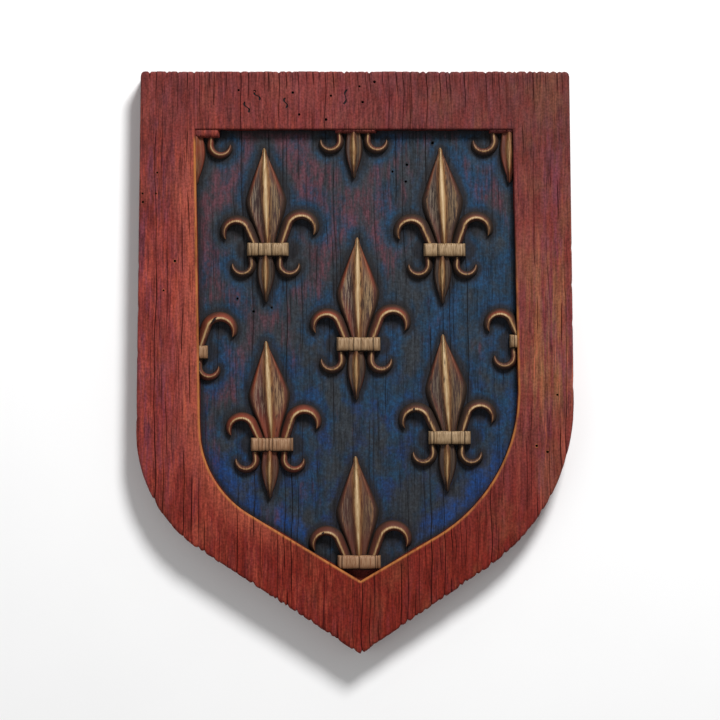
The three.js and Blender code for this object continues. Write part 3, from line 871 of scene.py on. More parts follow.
def board_mesh(b, g, f, materials):
    """The board as one closed body, worked out as two grids that share their grain lines.

    The frame's grid runs from the board's lower edge to its top in three stages: below, beside
    and above the field. The field's grid is the middle stage, sunk, and the rings between
    their edges are the wall. Further rings carry the outline down to the back.
    """
    outline = Outline(b)
    grain = Grain(g, outline)
    rng = np.random.default_rng(g.seed + 1)
    sheets = Sheets()
    u = columns(outline, grain)
    e = outline.edges
    coarse = 1
    low = rows(16 // coarse, [0.0, 0.012, 0.03, 0.06], [0.0, 0.012, 0.03, 0.06])
    mid = rows(104 // coarse, [0.0, 0.002, 0.006, 0.012], [0.0, 0.002, 0.006, 0.012])
    high = rows(11 // coarse, [0.0, 0.012, 0.03, 0.07], [0.0, 0.012, 0.03, 0.07])
    first, last = int(np.searchsorted(u, e[1] - 1e-7)), int(np.searchsorted(u, e[2] - 1e-7))
    bottom_row, top_row = len(low) - 1, len(low) + len(mid) - 2

    def levels(u, grow):
        """Heights of the three stages' ends over each grain line."""
        field_low = outline.field_bottom(outline.spread(u, np.full_like(u, e[0]), grow), grow)
        left_y, right_y = (outline.field_sides(grow)[k][1] for k in (0, 1))
        # Beside the field, the ends climb by this much from its edge to the rim.
        climb = 0.02
        field_low = np.where(u < e[1], left_y + climb * (e[1] - u) / (e[1] - e[0]), field_low)
        field_low = np.where(u > e[2], right_y + climb * (u - e[2]) / (e[3] - e[2]), field_low)
        edge = np.minimum(u - e[0], e[3] - u)
        corner = b.corner_radius
        drop = corner - np.sqrt(np.clip(corner**2 - np.clip(corner - edge, 0.0, None) ** 2, 0.0, None))
        field_high = np.full_like(u, outline.field_top + grow)
        return outline.board_bottom(u), field_low, field_high, outline.top - drop

    def lay(u, grow, stages):
        """The grid's points in the given stages: rows at shares of the way between their ends."""
        ends = levels(u, grow)
        parts = []
        for stage in stages:
            t = (low, mid, high)[stage]
            t = t if stage == stages[0] else t[1:]
            parts.append(ends[stage][None] + (ends[stage + 1] - ends[stage])[None] * t[:, None])
        y = np.vstack(parts)
        x = outline.spread(u[None] + grain.drift(np.broadcast_to(u, y.shape), y), y, grow)
        return x, y

    # The frame.
    x, y = lay(u, 0.0, (0, 1, 2))
    flat = np.column_stack((x.ravel(), y.ravel()))
    to_rim = distance_to_run(flat, outline.board_ring()).reshape(x.shape)
    to_lip = distance_to_run(flat, outline.field_ring()).reshape(x.shape)
    line = np.broadcast_to(u, x.shape)
    crack = grain.crack(line, y)
    # A quarter circle of radius r: how far it falls at the distance d from the edge.
    round_off = lambda d, r: r - np.sqrt(np.clip(r**2 - np.clip(r - d, 0.0, None) ** 2, 0.0, None))
    ripple = np.sin(2 * math.pi * (x / 0.043 + 0.3 * np.sin(y / 0.021))) * np.sin(y / 0.017 + 1.0)
    swell = 0.00016 * (1 + ripple)
    z = b.thickness - round_off(to_rim, b.edge_round) - round_off(to_lip, b.lip_round)
    z -= g.crack_depth * crack + swell * smoothstep(to_rim / 0.004)
    low_bite, high_bite, side_bite = grain.bites(u, y)
    # A bite pulls the points behind it along, less and less over this reach.
    reach = 0.005
    near = lambda d: np.clip(1 - d / reach, 0.0, 1.0)
    y_low, y_high, x_low, x_high = y[0], y[-1], x[:, :1], x[:, -1:]
    inward = side_bite * (near(x - x_low) - near(x_high - x))
    y = y + low_bite * near(y - y_low) - high_bite * near(y_high - y)
    x = x + inward
    frame_points = np.stack((x, y, z), -1)
    quads = grid_faces(*x.shape)
    inside = np.zeros(quads.shape[:2], bool)
    inside[bottom_row:top_row, first:last] = True
    sheets.add(frame_points, [quads[~inside]], FRAME, crack=crack.ravel(),
               lip=to_lip.ravel() * MILLIMETRES, gap=FAR)

    # The field, smaller all round than the hole in the frame, so that the wall leans.
    lean = 0.0003
    fu = u[first : last + 1]
    fx, fy = lay(fu, -lean, (1,))
    flat = np.column_stack((fx.ravel(), fy.ravel()))
    strips = flower_strips(f, outline, rng)
    discs = []
    for _, at, side, offset, _, _ in strips:
        middle = at + side * offset[:, [0, -1]].mean(1)[:, None]
        discs.append(np.column_stack((middle, np.abs(offset[:, 0] - offset[:, -1]) / 2)))
    to_flower = distance_to_discs(flat, np.vstack(discs))
    to_wall = distance_to_run(flat, outline.field_ring())
    fcrack = grain.crack(np.broadcast_to(fu, fx.shape), fy)
    shade = arm_shadow_and_wash(flat, f, outline)
    floor = b.thickness - b.field_depth
    beside = np.exp(-(((to_flower - 0.0022) / 0.0018) ** 2)).reshape(fx.shape)
    uneven = np.sin(fx / 0.0085 + 2 * np.sin(fy / 0.031)) * np.sin(fy / 0.026 + fx / 0.019)
    fz = floor - g.crack_depth * g.field_crack * fcrack - 0.00025 * beside + 0.00012 * uneven
    field_points = np.stack((fx, fy, fz), -1)
    # The field's ember mark holds the painted shadow and dark wash under the arms.
    sheets.add(field_points, [grid_faces(*fx.shape).reshape(-1, 4)], FIELD, crack=fcrack.ravel(),
               gap=to_flower * MILLIMETRES, lip=to_wall * MILLIMETRES, ember=shade)

    # The wall between them: rings that follow the edge of the frame's hole down to the field.
    # They fall first and lean in last.
    def hole_edge(points, r0, r1, c0, c1):
        """The points round the block of rows r0 to r1 and columns c0 to c1, anticlockwise."""
        sides = (points[r0, c0:c1], points[r0:r1, c1], points[r1, c1:c0:-1], points[r1:r0:-1, c0])
        return np.concatenate(sides)

    upper = hole_edge(frame_points, bottom_row, top_row, first, last)
    lower = hole_edge(field_points, 0, len(fy) - 1, 0, len(fu) - 1)
    share_down = np.array([0.0, 0.15, 0.45, 0.8, 1.0])
    in_by = np.array([0.0, 0.1, 0.2, 0.35, 1.0])
    wall = np.empty((len(share_down), len(upper), 3))
    wall[..., :2] = upper[None, :, :2] + (lower - upper)[None, :, :2] * in_by[:, None, None]
    wall[..., 2] = upper[None, :, 2] + (lower - upper)[None, :, 2] * share_down[:, None]
    faces = ring_faces(len(share_down), len(upper))[:, ::-1]
    sheets.add(wall, [faces], WALL, lip=0.0, gap=0.0)

    # The rim, straight down and then rounded off in two steps, and the back.
    edge = hole_edge(frame_points, 0, len(y) - 1, 0, len(u) - 1)
    step = np.roll(edge, -1, 0)[:, :2] - np.roll(edge, 1, 0)[:, :2]
    outward = np.column_stack((step[:, 1], -step[:, 0]))
    outward /= np.maximum(np.linalg.norm(step, axis=1), 1e-9)[:, None]
    drop = np.array([0.0, 0.25, 0.5, 0.75, 1.0, 1.0, 1.0])
    inset = np.array([0.0, 0.0, 0.0, 0.0, 0.0, 0.3, 1.0]) * b.edge_round
    depth = edge[None, :, 2] * (1 - drop[:, None]) + b.edge_round * drop[:, None]
    depth[5], depth[6] = b.edge_round * 0.3, 0.0
    rim = np.empty((len(drop), len(edge), 3))
    rim[..., :2] = edge[None, :, :2] - outward[None] * inset[:, None, None]
    rim[..., 2] = depth
    back = np.arange(len(edge))[::-1][None]
    sheets.add(rim, [ring_faces(len(drop), len(edge))], RIM, lip=FAR, gap=FAR)
    sheets.add(rim[-1], [back], BACK, lip=FAR, gap=FAR)
    board = sheets.mesh("board", materials, MARKS)

    # The flowers, pressed below the frame's face where they run under it.
    sheets = Sheets()
    under_frame = b.thickness - b.lip_round - 0.0006
    for slot, at, side, offset, height, marks in strips:
        points, faces = swept(at, side, offset, height + floor)
        shown = inside_field(points.reshape(-1, 3), outline, 0.0).reshape(height.shape)
        if not shown.any():
            continue
        points[..., 2] = np.where(shown, points[..., 2], np.minimum(points[..., 2], under_frame))
        up = smoothstep((height - 0.001) / 0.001)
        place = outline.gather(points[..., 0], points[..., 1], 0.0)
        cut = grain.crack(place - grain.drift(place, points[..., 1]), points[..., 1])
        points[..., 2] -= 0.5 * g.crack_depth * cut * up
        marks = {name: value.ravel() for name, value in marks.items()}
        sheets.add(points, faces, slot, crack=(cut * up).ravel(), gap=height.ravel() * MILLIMETRES,
                   lip=FAR, **marks)
    return board, sheets.mesh("carving", materials, MARKS), hole_mesh(b, g, materials)


# Materials.


class Nodes:
    """Short ways to place and join shader nodes."""

    def __init__(self, tree):
        self.tree = tree

    def new(self, kind, **values):
        """A new node with the given settings."""
        node = self.tree.nodes.new(kind)
        for name, value in values.items():
            setattr(node, name, value)
        return node

    def link(self, a, b):
        self.tree.links.new(a, b)

    def put(self, socket, value):
        """Links a socket, or sets its value."""
        if isinstance(value, bpy.types.NodeSocket):
            self.link(value, socket)
        elif socket.type == "RGBA" and len(value) == 3:
            socket.default_value = (*value, 1.0)
        else:
            socket.default_value = value

    def math(self, operation, a, b=0.0, clamp=False):
        """A sum, product or other result of two numbers."""
        node = self.new("ShaderNodeMath", operation=operation, use_clamp=clamp)
        self.put(node.inputs[0], a)
        self.put(node.inputs[1], b)
        return node.outputs[0]

    def times(self, a, b):
        return self.math("MULTIPLY", a, b)

    def plus(self, a, b, clamp=False):
        return self.math("ADD", a, b, clamp)

    def minus(self, a, b):
        return self.math("SUBTRACT", a, b)

    def mix(self, factor, a, b, blend="MIX"):
        """Blends two colours: sockets 6, 7 and output 2 are the node's colour ones."""
        node = self.new("ShaderNodeMix", data_type="RGBA", blend_type=blend)
        self.put(node.inputs[0], factor)
        self.put(node.inputs[6], a)
        self.put(node.inputs[7], b)
        return node.outputs[2]

    def ramp(self, value, low, high, out_low=0.0, out_high=1.0):
        """A soft step from out_low where value is low to out_high where it is high."""
        node = self.new("ShaderNodeMapRange", interpolation_type="SMOOTHSTEP")
        for socket, item in zip(node.inputs[:5], (value, low, high, out_low, out_high)):
            self.put(socket, item)
        return node.outputs[0]

    def mark(self, name):
        """One of the piece's own marks, kept at its points."""
        return self.new("ShaderNodeAttribute", attribute_name=name).outputs["Fac"]

    def noise(self, vector, scale, detail=3.0, roughness=0.55):
        """Cloudy noise from 0 to 1: layers that halve in size, each fainter by its roughness."""
        node = self.new("ShaderNodeTexNoise")
        self.put(node.inputs["Vector"], vector)
        node.inputs["Scale"].default_value = scale
        node.inputs["Detail"].default_value = detail
        node.inputs["Roughness"].default_value = roughness
        return node.outputs["Fac"]

    def stretched(self, width, length, shift=0.0):
        """Object coordinates measured in widths across the grain and lengths along it."""
        place = self.new("ShaderNodeTexCoord").outputs["Object"]
        node = self.new("ShaderNodeMapping")
        self.put(node.inputs["Vector"], place)
        node.inputs["Location"].default_value = (shift, shift * 0.7, shift * 1.3)
        node.inputs["Scale"].default_value = (1 / width, 1 / length, 1 / (3 * width))
        return node.outputs[0]

    def group(self, tree, **values):
        """A node group, its sockets filled by name."""
        node = self.new("ShaderNodeGroup", node_tree=tree)
        for name, value in values.items():
            self.put(node.inputs[name.replace("_", " ")], value)
        return node


def floats(*names):
    """Sockets that carry one number each."""
    return [(name, "Float") for name in names]


def new_group(name, inputs, outputs):
    """An empty node group with the given (name, kind) sockets, and its inner ends."""
    tree = bpy.data.node_groups.new(name, "ShaderNodeTree")
    for direction, sockets in (("INPUT", inputs), ("OUTPUT", outputs)):
        for label, kind in sockets:
            tree.interface.new_socket(name=label, in_out=direction, socket_type="NodeSocket" + kind)
    nodes = Nodes(tree)
    return tree, nodes, nodes.new("NodeGroupInput"), nodes.new("NodeGroupOutput")


def wood_grain_group():
    """Upright grain: fine pores, broader streaks and soft patches, and their height."""
    outputs = floats("Pores", "Streaks", "Patches", "Lines", "Speckle", "Height")
    tree, n, _, out = new_group("wood_grain", [], outputs)
    pores = n.noise(n.stretched(0.0009, 0.016), 1.0, 4.0, 0.75)
    streaks = n.noise(n.stretched(0.0019, 0.060, 3.1), 1.0, 4.0, 0.65)
    patches = n.noise(n.stretched(0.012, 0.034, 7.7), 1.0, 3.0, 0.55)
    rings = n.noise(n.stretched(0.0022, 0.060, 17.3), 1.0, 4.0, 0.7)
    lines = n.ramp(n.math("ABSOLUTE", n.minus(rings, 0.5)), 0.0, 0.040, 1.0, 0.0)
    lines = n.times(lines, n.ramp(n.noise(n.stretched(0.006, 0.020, 41.0), 1.0, 2.0), 0.42, 0.60))
    speckle = n.noise(n.new("ShaderNodeTexCoord").outputs["Object"], 800.0, 2.0, 0.6)
    height = n.plus(n.times(pores, 0.7), n.times(streaks, 0.6))
    height = n.minus(height, n.times(lines, 0.25))
    for result, socket in zip((pores, streaks, patches, lines, speckle, height), out.inputs):
        n.link(result, socket)
    return tree


def aged_paint_group():
    """Old paint on wood: pores and cracks go dark, and raised streaks wear through."""
    inputs = [("Paint", "Color"), ("Worn", "Color"), ("Dark", "Color")]
    inputs += floats("Wear", "Contrast", "Pores", "Streaks", "Lines", "Speckle", "Crack")
    tree, n, inp, out = new_group("aged_paint", inputs, [("Color", "Color"), ("Roughness", "Float")])
    i = inp.outputs
    shade = n.ramp(i["Pores"], 0.33, 0.62)
    floor = n.minus(1.0, i["Contrast"])
    level = n.plus(floor, n.times(shade, n.times(i["Contrast"], 1.35)))
    level = n.times(level, n.ramp(i["Speckle"], 0.35, 0.65, 0.80, 1.20))
    level = n.times(level, n.minus(1.05, n.times(i["Lines"], 0.50)))
    grey = n.new("ShaderNodeCombineColor")
    for socket in grey.inputs[:3]:
        n.link(level, socket)
    base = n.mix(1.0, i["Paint"], grey.outputs[0], "MULTIPLY")
    rubbed = n.times(n.ramp(i["Streaks"], 0.52, 0.72), i["Wear"])
    base = n.mix(n.times(rubbed, n.ramp(i["Pores"], 0.42, 0.6)), base, i["Worn"])
    dark = n.ramp(i["Crack"], 0.02, 0.4, 0.0, 0.9)
    n.link(n.mix(dark, base, i["Dark"]), out.inputs["Color"])
    rough = n.plus(0.5, n.times(n.minus(1.0, shade), 0.22))
    n.link(n.plus(rough, n.times(dark, 0.25), clamp=True), out.inputs["Roughness"])
    return tree


def finish(n, colour_out, roughness, height, strength, specular=0.18):
    """The surface shader: colour, roughness and a bump of the given strength."""
    shader = n.new("ShaderNodeBsdfPrincipled")
    bump = n.new("ShaderNodeBump")
    bump.inputs["Strength"].default_value = strength
    bump.inputs["Distance"].default_value = BUMP_DEPTH
    n.put(bump.inputs["Height"], height)
    n.put(shader.inputs["Base Color"], colour_out)
    n.put(shader.inputs["Roughness"], roughness)
    shader.inputs["Specular IOR Level"].default_value = specular
    n.link(bump.outputs["Normal"], shader.inputs["Normal"])
    n.link(shader.outputs[0], n.new("ShaderNodeOutputMaterial").inputs["Surface"])


def new_material(name):
    """An empty material and its nodes."""
    material = bpy.data.materials.new(name)
    material.use_nodes = True
    material.node_tree.nodes.clear()
    return material, Nodes(material.node_tree)


def place_of(n):
    """The x and y of a point of the shield."""
    split = n.new("ShaderNodeSeparateXYZ")
    n.link(n.new("ShaderNodeTexCoord").outputs["Object"], split.inputs[0])
    return split.outputs["X"], split.outputs["Y"]


def painted(n, g, aged, paint, worn, dark, wear, contrast, crack):
    """Old paint over the grain g: its colour and roughness."""
    streaky = {name: g.outputs[name] for name in ("Pores", "Streaks", "Lines", "Speckle")}
    node = n.group(
        aged, Paint=paint, Worn=worn, Dark=dark, Wear=wear, Contrast=contrast, Crack=crack, **streaky
    )
    return node.outputs["Color"], node.outputs["Roughness"]


def red_paint(c, grain, aged):
    """The frame: brick red, plum above, deeper below, with orange streaks and a gold lip."""
    material, n = new_material("red_paint")
    g = n.group(grain)
    x, y = place_of(n)
    lip = n.mark("lip")
    base = n.mix(n.ramp(g.outputs["Patches"], 0.35, 0.75, 0.0, 0.35), c.red, c.deep_red)

    # Browner at the top and the right, darker towards the tip.
    cool = n.plus(n.ramp(y, 0.08, 0.14, 0.0, 0.6), n.ramp(x, -0.04, 0.09, 0.0, 0.6), clamp=True)
    base = n.mix(n.times(cool, 0.95), base, c.plum)
    base = n.mix(n.ramp(y, -0.02, -0.12, 0.0, 0.85), base, c.deep_red)

    # An ochre patch rubbed into the middle of the right rail.
    across = n.ramp(n.math("ABSOLUTE", n.minus(x, RUBBED_AT)), 0.018, 0.004)
    rubbed = n.times(across, n.times(n.ramp(y, -0.05, 0.0), n.ramp(y, 0.09, 0.02, 0.12, 1.0)))
    base = n.mix(n.times(rubbed, n.ramp(g.outputs["Streaks"], 0.38, 0.60)), base, c.ochre)

    # Purple streaks, most on the outer half of the rails, and flame red ones on the left.
    outer = n.times(n.ramp(lip, 8.0, 24.0), n.ramp(y, 0.145, 0.12))
    purple = n.ramp(n.noise(n.stretched(0.0045, 0.034, 31.0), 1.0, 4.0, 0.7), 0.44, 0.66)
    purple = n.times(purple, n.ramp(y, -0.10, -0.03, 0.25, 1.0))
    base = n.mix(n.times(purple, n.plus(0.24, n.times(outer, 0.46))), base, c.mulberry)
    flame = n.ramp(n.noise(n.stretched(0.0026, 0.026, 37.0), 1.0, 4.0, 0.7), 0.47, 0.66)
    bright_side = n.times(n.ramp(x, 0.02, -0.05, 0.15, 0.62), n.ramp(y, 0.15, 0.11, 0.3, 1.0))
    base = n.mix(n.times(flame, bright_side), base, c.flame)

    # Dark red mottling and tawny patches.
    mottle = n.noise(n.stretched(0.005, 0.011, 9.1), 1.0, 4.0, 0.65)
    base = n.mix(n.ramp(mottle, 0.35, 0.7, 0.0, 0.35), base, c.deep_red)
    tawny = n.ramp(n.noise(n.stretched(0.014, 0.030, 13.7), 1.0, 3.0, 0.6), 0.50, 0.72)
    base = n.mix(n.times(tawny, n.ramp(x, -0.05, 0.10, 0.1, 0.26)), base, c.ochre)

    # Orange wear beside the field on the left, and along the right rail.
    left_rail = n.times(n.ramp(x, -0.02, -0.06), n.ramp(y, 0.13, 0.10))
    warm = n.times(n.ramp(lip, 15.0, 1.0), left_rail)
    right_rail = n.times(n.ramp(x, 0.085, 0.1), n.ramp(y, 0.13, 0.0))
    base = n.mix(n.times(warm, 0.36), base, c.orange)
    wear = n.plus(0.15, n.times(n.plus(warm, right_rail, clamp=True), 0.75))
    crack_colour = n.mix(0.35, c.soot_and_shade, c.deep_red)
    contrast = n.ramp(x, 0.06, 0.10, 0.40, 0.28)
    paint, rough = painted(n, g, aged, base, c.orange, crack_colour, wear, contrast, n.mark("crack"))

    # Dusk on both upper ends of the frame, and the gold line of its inner edge.
    dusk = n.times(n.ramp(x, 0.08, 0.10, 0.0, 0.15), n.ramp(y, 0.06, 0.10))
    dusk = n.plus(dusk, n.times(n.ramp(x, -0.09, -0.10, 0.0, 0.10), n.ramp(y, 0.04, 0.09)))
    edge = n.times(n.ramp(lip, 1.7, 0.5), n.ramp(mottle, 0.35, 0.6, 0.3, 0.9))
    edge = n.times(edge, n.ramp(y, 0.126, 0.120))
    upper_right = n.times(n.ramp(x, 0.0, 0.05), n.ramp(y, 0.02, 0.08))
    edge = n.times(edge, n.minus(1.0, upper_right))
    finish(n, n.mix(edge, n.mix(dusk, paint, c.soot_and_shade), c.amber), rough, g.outputs["Height"], 0.6, 0.08)
    return material


def blue_paint(c, grain, aged):
    """The field: greyed blue with brighter patches, wine streaks, and a dark wash with painted shade at the
    carving.
    """
    material, n = new_material("blue_paint")
    g = n.group(grain)
    x, y = place_of(n)
    gap, lip = n.mark("gap"), n.mark("lip")

    # How blue a place is: clouds, more of them low down, round the flowers and at the right.
    cloud = n.noise(n.stretched(0.015, 0.026, 2.3), 1.0, 4.0, 0.6)
    lower = n.ramp(y, 0.09, -0.07, 0.0, 0.07)
    halo = n.times(n.ramp(gap, 9.0, 3.0), 0.08)
    right = n.times(n.ramp(x, 0.02, 0.07, 0.0, 0.08), n.ramp(y, -0.06, 0.02))
    dim = n.times(n.ramp(x, -0.04, 0.07, 0.04, 0.15), n.ramp(y, -0.03, -0.08))
    blueness = n.minus(n.plus(n.plus(n.plus(cloud, lower), halo), right), dim)
    pure = n.ramp(n.noise(n.stretched(0.009, 0.014, 6.6), 1.0, 3.0, 0.6), 0.45, 0.62)
    blue = n.mix(n.times(n.ramp(y, 0.05, -0.05), pure), c.blue, c.ultramarine)
    base = n.mix(n.ramp(blueness, 0.44, 0.66), c.slate, blue)
    base = n.mix(n.ramp(blueness, 0.60, 0.74, 0.0, 0.5), base, c.azure)
    sponge = n.noise(n.new("ShaderNodeTexCoord").outputs["Object"], 420.0, 4.0, 0.7)
    base = n.mix(n.ramp(sponge, 0.42, 0.60, 0.42, 0.0), base, c.soot_and_shade)

    # Wine red shows through in streaks, most above and at the left, and away from the flowers.
    streak = n.noise(n.stretched(0.0022, 0.020, 11.0), 1.0, 3.0)
    region = n.noise(n.stretched(0.020, 0.045, 5.9), 1.0, 2.0)
    upper = n.plus(n.ramp(y, -0.10, 0.02, -0.12, 0.0), n.ramp(y, 0.03, 0.08, 0.0, 0.13))
    middle = n.times(n.ramp(n.math("ABSOLUTE", x), 0.045, 0.015, 0.0, 0.06), n.ramp(y, 0.06, 0.02))
    left = n.minus(n.ramp(x, 0.06, -0.06, -0.09, 0.09), middle)
    redness = n.plus(n.plus(n.times(streak, 0.55), n.times(region, 0.55)), n.plus(upper, left))
    wine = n.times(n.ramp(redness, 0.53, 0.74), n.ramp(gap, 3.0, 9.0))
    flecks = n.noise(n.stretched(0.003, 0.0065, 21.0), 1.0, 3.0, 0.7)
    wine = n.times(wine, n.ramp(flecks, 0.38, 0.60, 0.25, 1.0))
    base = n.mix(n.times(wine, 0.72), base, c.wine)

    # Darker low on the right, clear blue along the slanting edges.
    deep = n.times(n.ramp(y, -0.03, -0.09), n.ramp(x, -0.02, 0.05, 0.10, 0.28))
    base = n.mix(deep, base, c.soot_and_shade)
    shore = n.times(n.ramp(lip, 14.0, 7.0), n.ramp(y, -0.035, -0.060))
    shore = n.times(n.times(shore, n.ramp(y, -0.105, -0.085)), n.ramp(cloud, 0.36, 0.56, 0.15, 1.0))
    base = n.mix(n.times(shore, n.ramp(sponge, 0.40, 0.60, 0.45, 0.85)), base, c.shore)

    # A dark wash with painted shade at the foot of the carving and at the wall, painted shadow and wash under
    # the arms, and a red tip.
    wall_shade_and_wash = n.times(n.ramp(lip, 4.0, 0.5), n.ramp(x, 0.06, 0.08, 1.0, 0.4))
    wash = n.math("MAXIMUM", n.ramp(gap, 3.6, 0.6), wall_shade_and_wash)
    wash = n.math("MAXIMUM", wash, n.mark("ember"))
    base = n.mix(n.times(wash, 0.85), base, c.soot_and_shade)
    base = n.mix(n.ramp(y, -0.1115, -0.1150, 0.0, 0.85), base, c.deep_red)
    paint, rough = painted(n, g, aged, base, c.slate, c.soot_and_shade, 0.0, 0.35, n.mark("crack"))
    finish(n, paint, rough, g.outputs["Height"], 0.5)
    return material


def field_wall(c, grain, aged):
    """The wall of the field: dark wash over red."""
    material, n = new_material("field_wall")
    g = n.group(grain)
    base = n.mix(n.ramp(g.outputs["Patches"], 0.3, 0.7), c.soot_and_shade, c.deep_red)
    paint, rough = painted(n, g, aged, base, c.deep_red, c.soot_and_shade, 0.3, 0.4, 0.0)
    finish(n, paint, rough, g.outputs["Height"], 0.4)
    return material


def gilding(c, grain, aged):
    """The flowers: umber ground, ember slopes, greyed and golden facets, pale crests. Painted light
    brightens the arms' upper arcs and the right facets, and painted shade darkens the steep edges
    and the low slopes.

    Along a leaf, the mark along runs from 0 at the band to 1 at the petal's point and to -1 at
    the tail's. Across it, the mark flank is 0 at the spine, below 0 on the left facet, above 0
    on the right one, and 2 on the steep edges. An arm or curl has -0.9 on its inner slope.
    """
    material, n = new_material("gilding")
    g = n.group(grain)
    patches, streaks = g.outputs["Patches"], g.outputs["Streaks"]
    flank, along, gap, tint = n.mark("flank"), n.mark("along"), n.mark("gap"), n.mark("tint")
    wash = n.mark("wash")
    fine = n.noise(n.stretched(0.00042, 0.010, 4.4), 1.0, 3.0, 0.7)

    # Pale scratches on the widest part of the facets, over a dark ground that is golden beside
    # the spine on the right. The right facet's gold and its warmer scratches are partly painted
    # light from the right, partly gilding.
    belly = n.times(n.ramp(along, 0.12, 0.35, 0.35, 1.0), n.ramp(along, 0.80, 0.55, 0.2, 1.0))
    belly = n.times(belly, n.ramp(n.math("ABSOLUTE", flank), 0.15, 0.50, 0.35, 1.0))
    scratched = n.times(n.ramp(fine, 0.49, 0.56), belly)
    pale = n.mix(n.ramp(flank, -0.15, 0.15), n.mix(0.22, c.ash, c.pale_gold), n.mix(0.25, c.gold, c.ash))
    ground = n.mix(n.ramp(patches, 0.40, 0.62, 0.05, 0.35), c.umber_and_shade, c.wine)
    ground = n.mix(0.3, ground, c.soot_and_shade)
    golden = n.times(n.ramp(flank, 0.02, 0.12), n.ramp(flank, 0.80, 0.20))
    golden = n.times(golden, n.ramp(fine, 0.42, 0.54, 0.1, 0.85))
    ground = n.mix(golden, ground, n.mix(0.55, c.gold, c.umber_and_shade))
    facet = n.mix(scratched, ground, pale)
    facet = n.mix(n.ramp(streaks, 0.54, 0.66, 0.0, 0.45), facet, c.gold)
    # Painted shade: umber on the steep edges of the leaves and the outer feet of the arms.
    base = n.mix(n.ramp(flank, 1.1, 1.8, 0.0, 0.85), facet, c.umber_and_shade)

    # Ember glaze: two sides of each petal, the outer slopes, and all of a tinted flower. On the arms the
    # glaze is also painted light, strongest on the upper part of the arc.
    upper_right = n.times(n.ramp(flank, 0.35, 0.85), n.ramp(along, 0.45, 0.70))
    lower_left = n.times(n.ramp(flank, -0.25, -0.75), n.ramp(along, 0.50, 0.20))
    rosy = n.times(n.math("MAXIMUM", upper_right, lower_left), n.ramp(along, -0.05, 0.05))
    base = n.mix(n.times(rosy, n.ramp(patches, 0.35, 0.6, 0.2, 0.65)), base, c.ember)
    ember = n.times(n.mark("ember"), n.ramp(wash, 0.0, 0.6, 1.0, 0.45))
    base = n.mix(n.times(ember, n.ramp(patches, 0.35, 0.6, 0.7, 1.0)), base, c.ember)
    glazed = n.times(n.times(tint, n.ramp(along, 0.15, 0.4, 1.0, 0.5)), n.ramp(patches, 0.35, 0.6, 0.4, 1.0))
    base = n.mix(glazed, base, n.mix(n.ramp(tint, 0.8, 0.3, 0.0, 0.6), c.ember, c.umber_and_shade))

    # Umber wash over a washed flower, umber as painted shade low on the slopes, and umber over the tails.
    # Gold on the points.
    base = n.mix(n.times(wash, n.ramp(patches, 0.35, 0.65, 0.7, 1.0)), base, c.umber_and_shade)
    base = n.mix(n.ramp(gap, 3.6, 1.2), base, c.umber_and_shade)
    point = n.times(n.ramp(along, 0.6, 0.95), n.ramp(streaks, 0.40, 0.6, 0.1, 0.7))
    base = n.mix(n.times(point, n.ramp(gap, 2.0, 3.6)), base, n.mix(0.3, c.ember, c.gold))
    tail = n.times(n.ramp(along, -0.05, -0.3), n.ramp(tint, 0.6, 0.9, 0.55, 0.12))
    base = n.mix(tail, base, c.umber_and_shade)

    # The crests: amber, gold, then pale gold where they are brightest.
    crest = n.times(n.mark("gilt"), n.ramp(fine, 0.36, 0.56, 0.55, 1.0))
    crest = n.times(crest, n.ramp(tint, 0.7, 0.9, 1.0, 0.35))
    metal = n.mix(n.ramp(crest, 0.25, 0.6), n.mix(0.5, c.amber, c.umber_and_shade), c.gold)
    metal = n.mix(n.ramp(crest, 0.6, 1.0), metal, c.pale_gold)
    base = n.mix(n.ramp(crest, 0.10, 0.5), base, metal)
    base = n.mix(n.times(n.ramp(n.mark("crack"), 0.05, 0.6), 0.8), base, c.umber_and_shade)
    finish(n, base, n.minus(0.62, n.times(crest, 0.2)), g.outputs["Height"], 0.6, 0.3)
    return material


def gilt_band(c, grain, aged):
    """The bands: pale gold rubbed over umber, dark in the scores."""
    material, n = new_material("gilt_band")
    g = n.group(grain)
    crack, gilt, gap = n.mark("crack"), n.mark("gilt"), n.mark("gap")

    # Fine streaks rubbed pale over a browner gold, browner still along the lower edge.
    fine = n.noise(n.stretched(0.00045, 0.008, 4.4), 1.0, 3.0, 0.7)
    rubbed = n.ramp(fine, 0.34, 0.62)
    base = n.mix(rubbed, n.mix(0.44, c.umber_and_shade, c.gold), n.mix(0.5, c.pale_gold, n.mix(0.5, c.ash, c.gold)))
    base = n.mix(n.ramp(n.mark("flank"), 0.1, -0.9, 0.0, 0.65), base, n.mix(0.5, c.umber_and_shade, c.gold))

    # Ember glaze, then umber in the scores and in the cracks, and umber as painted shade at the foot.
    base = n.mix(n.times(n.mark("tint"), 0.5), base, c.ember)
    base = n.mix(n.ramp(gilt, 0.7, 0.3), base, c.umber_and_shade)
    base = n.mix(n.ramp(gap, 4.8, 2.0), base, c.umber_and_shade)
    base = n.mix(n.times(n.ramp(crack, 0.05, 0.6), 0.7), base, c.umber_and_shade)
    finish(n, base, n.minus(0.62, n.times(rubbed, 0.16)), g.outputs["Height"], 0.6)
    return material


def rim_stain(c, grain, aged):
    """The rim: thin dark red stain."""
    material, n = new_material("rim")
    g = n.group(grain)
    base = n.mix(n.ramp(g.outputs["Streaks"], 0.3, 0.7), c.deep_red, c.red)
    paint, rough = painted(n, g, aged, base, c.bare_wood, c.soot_and_shade, 0.5, 0.5, n.mark("crack"))
    finish(n, paint, rough, g.outputs["Height"], 0.6)
    return material


